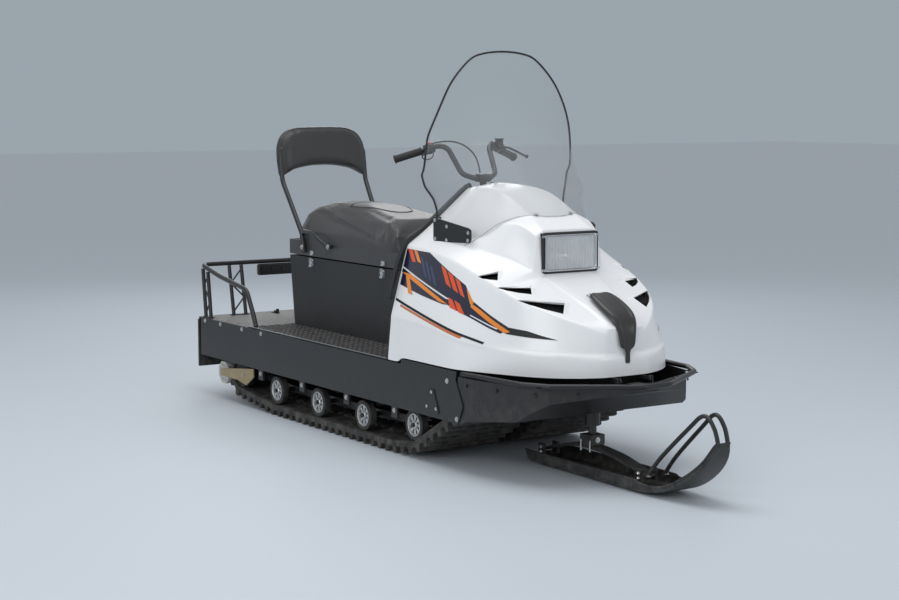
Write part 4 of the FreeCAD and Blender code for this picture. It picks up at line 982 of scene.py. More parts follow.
pad_shape = bmesh.new()
pad_rings = []
for share, ahead in ((0.10, -0.027), (0.45, -0.027), (0.80, -0.026), (0.93, -0.021), (0.985, -0.011),
        (1.0, 0.0), (0.985, 0.011), (0.93, 0.022), (0.80, 0.029), (0.45, 0.031), (0.10, 0.031)):
    pad_rings.append([pad_shape.verts.new(pad_spot(p, share, ahead)) for p in pad_rim])
for low, high in zip(pad_rings, pad_rings[1:]):
    for i in range(len(low)):
        j = (i + 1) % len(low)
        pad_shape.faces.new((low[i], low[j], high[j], high[i]))
pad_shape.faces.new(pad_rings[0][::-1])
pad_shape.faces.new(pad_rings[-1])
outward(pad_shape)
backrest = stuffed("backrest_cover", pad_shape, 0.003, 0.006, 0.006, 0.0, seat_vinyl)
refined(backrest)
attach(backrest, "seat")
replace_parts(backrest, "backrest_pad")
backrest_skin = skin_tree(backrest)
welt = []
for p in pad_rim:
    spot, way, _, _ = backrest_skin.find_nearest(pad_spot(p, 0.955, 0.030))
    welt.append(spot + way * 0.0005)
tubes("backrest_welt", [welt], 0.0022, seat_vinyl, "seat", "seat_vinyl", closed=True)
tube_paint = finish("seat_tube_coat", (0.021, 0.024, 0.027), 0.30, grain=900, bare=(0.20, 0.20, 0.20),
    grit=0.05, grit_top=1.0)
paint_nodes(tube_paint, "backrest_frame", "grab_handles")
lid_bolts = []
for side in (-1, 1):
    lid_bolts += [((-0.745, side * 0.2315, 0.769), (0, side, 0)),
                  ((-0.990, side * 0.2300, 0.752), (0, side, 0))]
bolts("lid_bolts", lid_bolts, "seat", 0.0085, 0.006, 0.012)

# ---------------------------------------------------------------- hood
# One large moulding of gloss white plastic, 5 mm thick, that tilts forward. It has a domed cowl,
# a housing for the lamp, gill vents under stepped brows, and a swage round its lower band.
hood_white = finish("gloss_white_plastic", (0.86, 0.865, 0.87), 0.30, grain=160, pebble=0.2, depth=0.03,
    shade=0.015, scuffs=0.10, bare=(0.60, 0.61, 0.62), grit=0.05, grit_top=0.6, coat=0.4)
hood_white.node_tree.nodes["Principled BSDF"].inputs["Coat Roughness"].default_value = 0.22
# half sections from the rear edge to the nose: x, crown height, then y and z of the crown's edge,
# dome foot, inner crease, outer ridge and waist, and the foot's y
hood_sections = [
    (0.140, 1.076, 0.072, 1.064, 0.200, 0.960, 0.290, 0.893, 0.363, 0.844, 0.440, 0.560, 0.455),
    (0.300, 1.096, 0.100, 1.080, 0.240, 0.945, 0.320, 0.878, 0.370, 0.835, 0.443, 0.556, 0.455),
    (0.480, 1.070, 0.112, 1.055, 0.232, 0.930, 0.300, 0.861, 0.368, 0.806, 0.443, 0.540, 0.455),
    (0.600, 1.012, 0.110, 1.000, 0.196, 0.950, 0.262, 0.835, 0.358, 0.772, 0.438, 0.520, 0.454),
    (0.652, 0.975, 0.105, 0.972, 0.172, 0.950, 0.222, 0.820, 0.352, 0.757, 0.425, 0.510, 0.443),
    (0.736, 0.928, 0.120, 0.927, 0.150, 0.905, 0.160, 0.775, 0.340, 0.729, 0.400, 0.505, 0.414),
    (0.750, 0.757, 0.100, 0.757, 0.125, 0.756, 0.139, 0.752, 0.338, 0.724, 0.395, 0.505, 0.409),
    (0.850, 0.713, 0.080, 0.713, 0.105, 0.711, 0.122, 0.706, 0.313, 0.682, 0.350, 0.500, 0.366),
    (0.960, 0.668, 0.070, 0.668, 0.090, 0.666, 0.103, 0.660, 0.245, 0.636, 0.292, 0.497, 0.309),
    (1.050, 0.622, 0.055, 0.622, 0.075, 0.620, 0.086, 0.613, 0.152, 0.592, 0.200, 0.494, 0.217),
    (1.097, 0.585, 0.040, 0.585, 0.060, 0.584, 0.080, 0.580, 0.084, 0.560, 0.090, 0.492, 0.096)]
hood_foot_rear, hood_foot_front = 0.384, 0.404


def hood_row(x):
    """The half section at x, between the given ones, smooth before and after the lamp's face."""
    parts = (hood_sections[:6], hood_sections[5:7], hood_sections[6:])
    rows = parts[(x > hood_sections[5][0]) + (x >= hood_sections[6][0])]
    for i in range(len(rows) - 1):
        if rows[i][0] <= x <= rows[i + 1][0] + 1e-9:
            break
    a, b = rows[i], rows[i + 1]
    before, after = rows[max(i - 1, 0)], rows[min(i + 2, len(rows) - 1)]
    wide = b[0] - a[0]
    t = (x - a[0]) / wide
    row = []
    for k in range(1, len(a)):
        slope_a = (b[k] - before[k]) / (b[0] - before[0]) * wide
        slope_b = (after[k] - a[k]) / (after[0] - a[0]) * wide
        row.append((2 * t ** 3 - 3 * t * t + 1) * a[k] + (t ** 3 - 2 * t * t + t) * slope_a
                   + (3 * t * t - 2 * t ** 3) * b[k] + (t ** 3 - t * t) * slope_b)
    return row


def eased(value, low, high):
    t = min(1.0, max(0.0, (value - low) / (high - low)))
    return t * t * (3 - 2 * t)


def half_ring(x):
    """Control points of the half section, crown to foot, with close pairs that hold each ridge."""
    row = hood_row(x)
    knots = [Vector((0.0, row[0]))] + [Vector((row[k], row[k + 1])) for k in range(1, 11, 2)]
    foot_z = hood_foot_rear + (hood_foot_front - hood_foot_rear) * eased(x, 0.222, 0.236)
    step = 0.013 * eased(x, 0.70, 0.92)
    ring = [knots[0]]
    for i in range(1, 6):
        before, here = knots[i - 1], knots[i]
        ring += [before.lerp(here, 0.5), here.lerp(before, (0.16, 0.16, 0.14, 0.10, 0.20)[i - 1])]
        if i < 5:
            ring += [here, here.lerp(knots[i + 1], 0.08)]
    waist = knots[5]
    foot = Vector((row[11], foot_z))
    ring += [waist, waist + Vector((step * 0.85, -0.005)), waist + Vector((step, -0.016)),
             waist.lerp(foot, 0.55) + Vector((step * 0.6, 0)), foot.lerp(waist, 0.04), foot]
    return ring


hood_xs = [0.140, 0.144, 0.180, 0.222, 0.236, 0.300, 0.360, 0.420, 0.480, 0.540, 0.600, 0.630, 0.652,
    0.680, 0.708, 0.727, 0.734, 0.739, 0.7495, 0.753, 0.765, 0.800, 0.850, 0.905, 0.960, 1.005, 1.035,
    1.062, 1.081, 1.091, 1.097]
cage = bmesh.new()
cage_rows = []
for x in hood_xs:
    right = half_ring(x)
    bulge = 0.012 * eased(x, 1.02, 1.097)
    count = len(right)
    ring = []
    for i in range(count - 1, -count, -1):
        y, z = right[abs(i)]
        out = bulge if abs(i) >= count - 4 else 0.0
        ring.append(cage.verts.new((x + out, -y if i >= 0 else y, z)))
    cage_rows.append(ring)
for low, high in zip(cage_rows, cage_rows[1:]):
    for i in range(len(low) - 1):
        cage.faces.new((low[i], low[i + 1], high[i + 1], high[i]))
nose_ring = cage_rows[-1]
last = len(nose_ring) - 1
for i in range(last // 2):
    if i + 1 == last - i - 1:
        cage.faces.new((nose_ring[i], nose_ring[i + 1], nose_ring[last - i]))
    else:
        cage.faces.new((nose_ring[i], nose_ring[i + 1], nose_ring[last - i - 1], nose_ring[last - i]))
outward(cage)
if sum(f.normal.z for f in cage.faces) < 0:
    bmesh.ops.reverse_faces(cage, faces=cage.faces[:])
hood_skin = worked(finished("hood_skin", cage, hood_white, None), "SUBSURF", levels=2,
    render_levels=2)
hood_tree = skin_tree(hood_skin)

# openings: vents (tail, upper front and lower front corners), the lamp and the column's slot
vents = [((0.645, -0.350, 0.761), (0.686, -0.292, 0.782), (0.713, -0.315, 0.745)),
         ((0.752, -0.335, 0.725), (0.812, -0.226, 0.742), (0.833, -0.242, 0.698)),
         ((0.849, -0.309, 0.684), (0.940, -0.164, 0.684), (0.974, -0.199, 0.635))]
cutters = bmesh.new()
vent_planes = []
for corners in vents:
    tail, upper, lower = (Vector(c) for c in corners)
    way = (upper - tail).cross(lower - tail).normalized()
    if way.y > 0:
        way = -way
    vent_planes.append((tail, upper, lower, way))
    back = tail - (upper - tail).normalized() * 0.009
    sag = (lower - upper).normalized() * 0.0085
    mouth = [back, upper, lower, back * 0.4 + lower * 0.6 + sag, back * 0.75 + lower * 0.25 + sag]
    for side in (1, -1):
        sets = [[cutters.verts.new(Vector((p.x, side * p.y, p.z)) + Vector((way.x, side * way.y,
                 way.z)) * out) for p in mouth] for out in (0.035, -0.035)]
        cutters.faces.new(sets[0])
        cutters.faces.new(sets[1])
        for i in range(5):
            cutters.faces.new((sets[0][i], sets[0][(i + 1) % 5], sets[1][(i + 1) % 5], sets[1][i]))
add_block(cutters, (0.090, 0.262, 0.152), (0.7350, 0, 0.841))
add_block(cutters, (0.074, 0.096, 0.120), (0.1550, 0, 1.080))
outward(cutters)
cutter = finished("hood_cutters", cutters, hood_white, None)
hood_shell = link_object("hood_shell", hood_skin.data.copy())
worked(hood_shell, "SOLIDIFY", thickness=0.005, offset=-1)
worked(hood_shell, "BOOLEAN", operation="DIFFERENCE", solver="EXACT", object=cutter)
bpy.data.objects.remove(cutter)
hood_shell.data.materials.clear()
hood_shell.data.materials.append(hood_white)
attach(smoothed(hood_shell, 32), "hood")
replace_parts(hood_shell, "hood")

# each vent has a raised brow of the same white over its mouth, ending in an upright lip; the mouth's
# inner walls and a flat sheet behind it are near-black painted shade
brows = bmesh.new()
screens = bmesh.new()
# near-black painted shade for the inside of the vents
vent_painted_shade = finish("vent_mouth_painted_shade", (0.006, 0.006, 0.006), 0.85, grain=300, scuffs=0.0, grit=0.1)


def on_hood(point, lift=0.0):
    spot, normal, _, _ = hood_tree.find_nearest(Vector(point))
    return spot + normal * lift


for tail, upper, lower, way in vent_planes:
    size = (upper - tail).length
    up_slope = (upper - lower).normalized()
    ahead = (upper - tail).normalized()
    # the brow's tail, outer upper and lower corners, then its foot on the skin from above to below
    corners = [on_hood(tail - ahead * 0.020, 0.0008), on_hood(upper) + way * (0.006 + 0.025 * size),
               on_hood(lower) + way * 0.0010,
               on_hood(upper + up_slope * (0.016 + 0.10 * size) - ahead * 0.02, -0.0006),
               on_hood(upper + ahead * (0.014 + 0.06 * size) + up_slope * 0.010, -0.0006),
               on_hood(lower + ahead * (0.012 + 0.05 * size), -0.0006),
               on_hood(lower - up_slope * 0.007, -0.0006)]
    inner = [on_hood(p, 0.0) - way * 0.004 for p in (tail, upper, lower)]
    heart = sum((Vector(p) for p in inner), Vector()) / 3
    for side in (1, -1):
        brow = [brows.verts.new((p.x, side * p.y, p.z)) for p in corners + inner]
        for face in ((0, 3, 1), (3, 4, 1), (1, 4, 5, 2), (2, 5, 6), (0, 1, 8, 7), (1, 2, 9, 8),
                     (2, 6, 9)):
            made = brows.faces.new([brow[i] for i in (face if side > 0 else face[::-1])])
            # the brow's inner walls down into the mouth take the near-black: painted shade in the opening
            made.material_index = 1 if 8 in face else 0
        # a flat near-black sheet behind each mouth stands in for the shade inside the hood
        mouth = [heart - way * 0.020 + (p - heart) * 1.35 for p in inner]
        screens.faces.new([screens.verts.new((p.x, side * p.y, p.z)) for p in mouth])
outward(brows)
brow_pieces = finished("vent_brows", brows, hood_white, None, sharp=28)
brow_pieces.data.materials.append(vent_painted_shade)
worked(brow_pieces, "BEVEL", width=0.0022, segments=3, limit_method="ANGLE",
       angle_limit=math.radians(24))
brow_pieces.data.shade_smooth()
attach(brow_pieces, "hood")
finished("vent_screens", screens, vent_painted_shade, "hood")

# a thin parting line runs over the front of the cowl where its cap is bonded on; the grey tube along it
# is painted shade in the seam
parting_painted_shade = finish("parting_shadow", (0.30, 0.31, 0.32), 0.6, grain=200, scuffs=0.0, grit=0.2)
half_line = [(0.470, -0.306, 0.862), (0.506, -0.264, 0.893), (0.547, -0.216, 0.936),
    (0.590, -0.170, 0.962), (0.628, -0.115, 0.978), (0.648, -0.060, 0.977), (0.654, 0.0, 0.975)]
parting = smooth_line(half_line + [(x, -y, z) for x, y, z in half_line[-2::-1]], steps=10)
tubes("cowl_parting_line", [[on_hood(p, 0.0002) for p in parting]], 0.0011, parting_painted_shade, "hood",
      "hood_white")
bolts("cowl_screws", [hood_tree.find_nearest(Vector((0.640, y, 0.985)))[:2] for y in (-0.084, 0.084)],
      "hood", 0.0048, 0.003, 0.0075)


def joined(shape, part):
    """Adds a small bmesh to another one."""
    kept = bpy.data.meshes.new("part")
    part.to_mesh(kept)
    part.free()
    shape.from_mesh(kept)


# the hood turns on two steel arms whose eyes sit on pins ahead of the nose
arms = bmesh.new()
for side in (-1, 1):
    add_block(arms, (0.062, 0.005, 0.014), (1.1130, side * 0.070, 0.3955), 0.0012)
    add_block(arms, (0.018, 0.005, 0.044), (1.0815, side * 0.070, 0.418), 0.0012)
for side in (-1, 1):
    eye = bmesh.new()
    turned(eye, [(0.0055, -0.004), (0.0092, -0.004), (0.0092, 0.004), (0.0055, 0.004)], 24)
    bmesh.ops.rotate(eye, cent=(0, 0, 0), matrix=Matrix.Rotation(math.pi / 2, 3, "X"), verts=eye.verts)
    bmesh.ops.translate(eye, vec=(1.150, side * 0.070, 0.395), verts=eye.verts)
    joined(arms, eye)
finished("hood_arms", arms, black_steel, "hood")
paint_nodes(black_steel, "hood_hinges")

# ---------------------------------------------------------------- side graphics
# Printed vinyl bands are pressed on the hood's flanks: a dark blue field with slanted orange
# bars, an amber edge and a long black point, above a pair of thin coach lines.


def film(name, colour):
    """Printed vinyl film under clear laminate."""
    dark = max(colour) < 0.01
    return finish(name, colour, 0.55 if dark else 0.24, grain=1500, depth=0.02, shade=0.04, scuffs=0.15,
        bare=tuple(min(1, c * 1.5 + 0.03) for c in colour), grit=0.04, coat=0.0 if dark else 0.4)


graphics = [
    ("graphic_field", (0.010, 0.012, 0.036), 0.0006, [
        [(0.150, 0.830), (0.325, 0.826), (0.588, 0.719), (0.643, 0.664), (0.648, 0.602),
         (0.150, 0.737)],
        [(0.643, 0.664), (0.840, 0.573), (0.798, 0.554), (0.648, 0.602)],
        [(0.155, 0.735), (0.512, 0.639), (0.462, 0.638), (0.327, 0.660), (0.155, 0.684)]]),
    ("graphic_point", (0.006, 0.006, 0.007), 0.0008, [
        [(0.826, 0.579), (0.898, 0.571), (1.000, 0.5415), (0.914, 0.5465), (0.820, 0.5545)]]),
    ("graphic_slate", (0.035, 0.055, 0.13), 0.0009, [
        [(x, z), (x + 0.020, z - 0.008), (x + 0.074, z - 0.078), (x + 0.054, z - 0.070)]
        for x, z in ((0.268, 0.806), (0.306, 0.794), (0.344, 0.780))]),
    ("graphic_orange", (0.76, 0.085, 0.014), 0.0010, [
        [(0.157, 0.830), (0.192, 0.830), (0.240, 0.783), (0.214, 0.781)],
        [(0.418, 0.784), (0.456, 0.769), (0.512, 0.702), (0.476, 0.716)],
        [(0.468, 0.764), (0.505, 0.750), (0.560, 0.686), (0.526, 0.698)],
        [(0.518, 0.745), (0.553, 0.730), (0.600, 0.672), (0.573, 0.682)],
        [(0.505, 0.668), (0.535, 0.660), (0.577, 0.620), (0.530, 0.630)],
        [(0.546, 0.660), (0.582, 0.648), (0.622, 0.609), (0.584, 0.617)]]),
    ("graphic_amber", (0.84, 0.25, 0.022), 0.0012, [
        [(0.204, 0.830), (0.236, 0.824), (0.282, 0.780), (0.252, 0.786)],
        [(0.152, 0.737), (0.228, 0.733), (0.513, 0.641), (0.461, 0.645)],
        [(0.598, 0.706), (0.612, 0.697), (0.652, 0.655), (0.634, 0.652)],
        [(0.636, 0.656), (0.691, 0.634), (0.836, 0.563), (0.816, 0.556), (0.642, 0.640)],
        [(0.186, 0.726), (0.218, 0.720), (0.268, 0.654), (0.232, 0.660)]]),
    ("graphic_white", (0.78, 0.79, 0.80), 0.0013, [
        [(0.150, 0.760), (0.150, 0.754), (0.500, 0.659), (0.516, 0.661)],
        [(0.648, 0.613), (0.648, 0.609), (0.780, 0.568), (0.786, 0.571)]]),
    ("coach_line_black", (0.006, 0.006, 0.007), 0.0006, [
        [(0.149, 0.634), (0.149, 0.624), (0.735, 0.509), (0.742, 0.517)]]),
    ("coach_line_copper", (0.60, 0.17, 0.06), 0.0006, [
        [(0.196, 0.612), (0.190, 0.604), (0.625, 0.521), (0.636, 0.529)]])]
for name, colour, lift, outlines in graphics:
    patches(name, hood_skin, outlines, 1, lift, film(name + "_film", colour), "hood",
            -1, mirror=True)

# ---------------------------------------------------------------- headlamp
# A sealed rectangular lamp: a mirrored bowl with a bulb shield, fluted glass, a bright pressed
# bezel in a rubber gasket, and four small clips at its corners.
lamp_middle = Vector((0.7490, 0, 0.841))


def frame_ring(half_y, half_z, corner, x, count=9):
    """A rounded rectangle of points facing forwards."""
    ring = []
    for turn, sy, sz in ((0, 1, 1), (1, -1, 1), (2, -1, -1), (3, 1, -1)):
        for step in range(count):
            angle = math.pi / 2 * (turn + step / (count - 1))
            ring.append((x, sy * (half_y - corner) + corner * math.cos(angle),
                         lamp_middle.z + sz * (half_z - corner) + corner * math.sin(angle)))
    return ring


def lofted(shape, rings, close_last=False):
    """Skins a row of equal rings of points."""
    made = [[shape.verts.new(p) for p in ring] for ring in rings]
    for low, high in zip(made, made[1:]):
        count = len(low)
        for i in range(count):
            shape.faces.new((low[i], low[(i + 1) % count], high[(i + 1) % count], high[i]))
    if close_last:
        shape.faces.new(made[-1])
    return made


lamp_gasket = finish("lamp_gasket_rubber", (0.016, 0.016, 0.017), 0.55, grain=500, depth=0.3)
lamp_bright = finish("lamp_bezel_bright", (0.62, 0.63, 0.65), 0.22, metal=1.0, grain=200, depth=0.05,
    scuffs=0.2, bare=(0.35, 0.35, 0.36))
for name, material, slot, sizes in (
        ("lamp_gasket", lamp_gasket, "black_rubber", (
            (0.1300, 0.0755, 0.012, 0.735), (0.1345, 0.0800, 0.014, 0.7470),
            (0.1335, 0.0790, 0.013, 0.7545), (0.1270, 0.0725, 0.011, 0.7560),
            (0.1255, 0.0710, 0.010, 0.7480))),
        ("lamp_bezel", lamp_bright, "black_plastic", (
            (0.1262, 0.0717, 0.011, 0.7470), (0.1250, 0.0705, 0.011, 0.7585),
            (0.1225, 0.0680, 0.010, 0.7600), (0.1180, 0.0635, 0.009, 0.7550),
            (0.1170, 0.0625, 0.009, 0.7480)))):
    surround = bmesh.new()
    lofted(surround, [frame_ring(*size) for size in sizes])
    outward(surround)
    finished(name, surround, material, "hood")
# the bowl is only half metallic: its pale base colour shows as even diffuse brightness, a painted
# reflection in place of what the mirror reflects
mirror_painted_bright = finish("lamp_mirror", (0.72, 0.74, 0.76), 0.26, metal=0.55, grain=60, depth=0.3,
    shade=0.10, scuffs=0.0, grit=0.0)
bowl = bmesh.new()
bowl_rings = [frame_ring(0.020 + 0.098 * (1 - share), 0.018 + 0.046 * (1 - share),
    0.010 + 0.006 * share, 0.7480 - 0.072 * math.sqrt(share))
    for share in (0.0, 0.18, 0.38, 0.60, 0.80, 0.94)]
lofted(bowl, bowl_rings, close_last=True)
outward(bowl)
bmesh.ops.reverse_faces(bowl, faces=bowl.faces[:])
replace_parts(finished("lamp_bowl", bowl, mirror_painted_bright, "hood"), "headlamp")
bulb = bmesh.new()
turned(bulb, [(0.0001, 0.0), (0.0095, 0.0), (0.0105, 0.010), (0.0100, 0.022), (0.0060, 0.030),
              (0.0001, 0.032)], 24)
bmesh.ops.rotate(bulb, cent=(0, 0, 0), matrix=Matrix.Rotation(math.pi / 2, 3, "Y"), verts=bulb.verts)
bmesh.ops.translate(bulb, vec=(0.690, 0, 0.841), verts=bulb.verts)
finished("lamp_bulb_shield", bulb, lamp_bright, "hood")


def clear_pane(name, tint, see_through, haze, ribs=None):
    """A thin clear pane: a glossy skin that lets most light through, with haze and maybe ribs."""
    made = bpy.data.materials.new(name)
    tree, surface, place = inside(made)
    cloudy = noise(tree, place, 6.0, 5.0)
    veil = spread(tree, cloudy, 0.3, 0.7, see_through, see_through + haze)
    glancing = put(tree, "ShaderNodeLayerWeight", {"Blend": 0.12}).outputs["Facing"]
    fill(tree, surface, {
        "Alpha": reckon(tree, "MULTIPLY_ADD", glancing, 0.30, veil), "Base Color": tint,
        "Roughness": 0.05, "IOR": 1.45})
    if ribs:
        upright, across = [put(tree, "ShaderNodeTexWave", {"Vector": place, "Scale": scale},
            bands_direction=way).outputs["Fac"] for way, scale in (("Y", ribs), ("Z", ribs / 5))]
        fill(tree, surface, {
            "Normal": bump(tree, reckon(tree, "ADD", upright, across), 0.5, 0.004)})
    return made


# the lamp glass is partly opaque in a pale tint: a painted reflection, standing in for the bright
# reflector seen through the clear glass
lamp_glass = clear_pane("fluted_lamp_glass", (0.80, 0.83, 0.85, 1), 0.28, 0.22, ribs=22.0)
pane = bmesh.new()
rows = [frame_ring(0.1175, 0.0630, 0.009, 0.7495)]
for share in (1.0, 0.8, 0.55, 0.3, 0.12):
    rows.append(frame_ring(0.1175 * share, 0.0630 * share, 0.009 * share + 0.0005,
        0.7535 + 0.0045 * (1 - share ** 2)))
lofted(pane, rows, close_last=True)
pane.faces.new(pane.verts[:len(rows[0])][::-1])
outward(pane)
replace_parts(finished("lamp_glass_pane", pane, lamp_glass, "hood", sharp=50),
            "headlamp_lens")
clips = bmesh.new()
clip_screws = []
for side in (-1, 1):
    for z in (0.776, 0.906):
        add_block(clips, (0.012, 0.018, 0.009), (0.7570, side * 0.128, z), 0.0015)
        clip_screws.append(((0.7630, side * 0.130, z), (1, 0, 0)))
finished("lamp_clips", clips, lamp_bright, "hood")
bolts("lamp_clip_screws", clip_screws, "hood", 0.0032, 0.002, 0.0045)

# ---------------------------------------------------------------- hood strap
# A moulded rubber strap holds the hood down: two pins at its top, a thick waisted body over the
# nose, a ribbed block and a thin pull tail that hooks under the bumper.
strap_rubber = finish("strap_rubber", (0.024, 0.023, 0.022), 0.38, grain=420, pebble=0.5, depth=0.3,
    shade=0.2, scuffs=0.4, bare=(0.09, 0.08, 0.07), grit=0.1, coat=0.15)
# the strap's run: x and z of its outer face's middle, half width and thickness
strap_rows = [(0.930, 0.703, 0.046, 0.014), (0.950, 0.700, 0.056, 0.022), (0.985, 0.688, 0.062, 0.026),
    (1.020, 0.671, 0.066, 0.026), (1.052, 0.654, 0.066, 0.026), (1.078, 0.637, 0.063, 0.025),
    (1.098, 0.616, 0.057, 0.023), (1.111, 0.592, 0.049, 0.022), (1.1165, 0.566, 0.042, 0.020),
    (1.1180, 0.540, 0.039, 0.019), (1.1180, 0.520, 0.036, 0.018), (1.1165, 0.508, 0.030, 0.016),
    (1.1150, 0.503, 0.010, 0.010), (1.1150, 0.480, 0.0095, 0.010), (1.1150, 0.458, 0.011, 0.011),
    (1.1145, 0.451, 0.009, 0.009)]
strap = bmesh.new()
strap_rings = []
for i, (x, z, half, thick) in enumerate(strap_rows):
    x0, z0 = strap_rows[max(i - 1, 0)][:2]
    x1, z1 = strap_rows[min(i + 1, len(strap_rows) - 1)][:2]
    along_way = Vector((x1 - x0, 0, z1 - z0)).normalized()
    out = Vector((-along_way.z, 0, along_way.x))
    if out.x < 0:
        out = -out
    spot = Vector((x, 0, z))
    ring = []
    for side, depth in ((-1, -1), (-0.98, -0.45), (-0.80, -0.04), (-0.62, 0), (-0.56, -0.16),
                        (0, -0.20), (0.56, -0.16), (0.62, 0), (0.80, -0.04), (0.98, -0.45), (1, -1)):
        ring.append(spot + Vector((0, side * half, 0)) + out * (thick * depth))
    strap_rings.append(ring)
made = lofted(strap, strap_rings)
strap.faces.new(made[0][::-1])
strap.faces.new(made[-1])
outward(strap)
hood_strap = worked(finished("hood_strap", strap, strap_rubber, None), "SUBSURF", levels=2,
    render_levels=2)
hood_strap.data.shade_smooth()
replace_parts(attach(hood_strap, "hood"), "hood_handle")
pins = bmesh.new()
pin_lean = Matrix.Rotation(math.radians(24), 3, "Y")
for y in (-0.034, 0.034):
    pin = bmesh.new()
    turned(pin, [(0.0001, 0.0), (0.0055, 0.0), (0.0060, 0.010), (0.0035, 0.0125), (0.0001, 0.013)], 16)
    bmesh.ops.rotate(pin, cent=(0, 0, 0), matrix=pin_lean, verts=pin.verts)
    bmesh.ops.translate(pin, vec=(0.918, y, 0.686), verts=pin.verts)
    joined(pins, pin)
add_block(pins, (0.022, 0.088, 0.004), (0.920, 0, 0.687), 0.0012, pin_lean)
finished("strap_pins", pins, lamp_bright, "hood")
bpy.data.objects.remove(hood_skin)

# ---------------------------------------------------------------- windshield
# A tall sheet of clear plastic, rolled round the cowl and flattening towards its top. Black edging
# is pressed on its rim, and two drilled plates hold it to the hood.

# height, the ellipse's middle, half length and half width, and its half angle
shield_levels = [(0.880, 0.290, 0.425, 0.306, 90), (0.950, 0.289, 0.385, 0.308, 90),
    (1.030, 0.276, 0.350, 0.322, 90), (1.090, 0.252, 0.338, 0.351, 90),
    (1.240, 0.006, 0.448, 0.444, 58), (1.414, -0.541, 0.891, 0.891, 24.5),
    (1.640, -1.610, 1.900, 1.900, 11.5)]


def on_windshield(y, z):
    """The place on the rolled sheet at a side offset and a height."""
    def level_spot(share):
        rows = [Vector((middle + length * math.cos(math.radians(angle) * share),
            width * math.sin(math.radians(angle) * share), level))
            for level, middle, length, width, angle in shield_levels]
        k = max(i for i in range(len(rows) - 1) if i == 0 or rows[i].z <= z)
        step = rows[k + 1].z - rows[k].z
        t = (z - rows[k].z) / step
        ways = []
        for i in (k, k + 1):
            below, above = rows[max(i - 1, 0)], rows[min(i + 1, len(rows) - 1)]
            ways.append((above - below) * (step / (above.z - below.z)))
        return (rows[k] * (2 * t ** 3 - 3 * t ** 2 + 1) + ways[0] * (t ** 3 - 2 * t ** 2 + t)
                + rows[k + 1] * (3 * t ** 2 - 2 * t ** 3) + ways[1] * (t ** 3 - t ** 2))
    low, high = -1.0, 1.0
    for _ in range(26):
        share = (low + high) / 2
        low, high = (share, high) if level_spot(share).y < y else (low, share)
    spot = level_spot(share)
    return Vector((spot.x, spot.y, z))


shield_half = [(0.035, 0.973), (0.150, 0.966), (0.216, 0.933), (0.262, 0.886), (0.288, 0.905),
    (0.306, 0.950), (0.314, 0.985), (0.324, 1.027), (0.338, 1.054), (0.354, 1.090), (0.361, 1.142),
    (0.356, 1.237), (0.344, 1.304), (0.299, 1.414), (0.245, 1.505), (0.165, 1.584), (0.100, 1.610)]
shield_rim = smooth_line([(y, z, 0) for y, z in [(0.0, 0.973)] + shield_half + [(0.0, 1.619)]
    + [(-y, z) for y, z in shield_half[::-1]]], closed=True, steps=8)
shield = bmesh.new()
shield_heart = 1.290
shield_rings = [[on_windshield(p.x * share, shield_heart + (p.y - shield_heart) * share)
    for p in shield_rim] for share in (1.0, 0.985, 0.93, 0.84, 0.72, 0.58, 0.43, 0.28, 0.13)]
made = lofted(shield, shield_rings)
centre = shield.verts.new(on_windshield(0, shield_heart))
for a, b in zip(made[-1], made[-1][1:] + made[-1][:1]):
    shield.faces.new((a, b, centre))
outward(shield)
shield_clear = clear_pane("windshield_clear_plastic", (0.36, 0.385, 0.40, 1), 0.085, 0.03)
windshield = worked(finished("windshield_sheet", shield, shield_clear, None, sharp=60),
    "SOLIDIFY", thickness=0.004, offset=0)
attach(windshield, "hood")
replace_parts(windshield, "windshield")
edging = finish("windshield_edging", (0.008, 0.008, 0.009), 0.38, depth=0.2)
start = next(i for i, p in enumerate(shield_rim) if p.x > 0.295 and p.y > 0.955)
edge_line = [on_windshield(p.x, p.y) for p in shield_rim[start:len(shield_rim) - start + 1]]
tubes("windshield_edging", [edge_line], 0.0042, edging, "hood", "black_rubber")

# the side plates, drilled and screwed through the sheet and down into the hood
plates = bmesh.new()
plate_screws = []
for side in (-1, 1):
    rear, front = Vector((0.285, side * 0.3265, 0)), Vector((0.516, side * 0.3005, 0))
    along_plate = (front - rear).normalized()
    out = Vector((along_plate.y, -along_plate.x, 0))
    if out.y * side < 0:
        out = -out
    length = (front - rear).length
    outline = [(0.0, 0.874), (0.0, 0.962), (0.008, 0.965), (0.030, 0.959), (length - 0.014, 0.930),
               (length, 0.922), (length, 0.884), (length - 0.010, 0.872), (0.012, 0.866)]

    def on_plate(t, z, lift):
        return rear + along_plate * t + out * lift + Vector((0, 0, z))
    outer, inner = [[plates.verts.new(on_plate(t, z, lift)) for t, z in outline]
                    for lift in (0.0045, 0.0005)]
    prism(plates, inner, outer)
    plate_screws += [(on_plate(t, z, 0.0045), out) for t, z in (
        (0.010, 0.952), (0.084, 0.930), (length - 0.018, 0.912), (0.012, 0.878), (0.082, 0.876),
        (length - 0.020, 0.882))]
outward(plates)
shield_plates = worked(finished("windshield_plates", plates, black_steel, None, sharp=30),
    "BEVEL", width=0.0012, segments=2, limit_method="ANGLE")
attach(shield_plates, "hood")
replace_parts(shield_plates, "windshield_brackets")
plate_screws += [((0.6425, y, 0.9850), (0.5, 0, 0.86)) for y in (-0.084, 0.084)]
bolts("windshield_screws", plate_screws, "hood", 0.0052, 0.003, 0.0078)

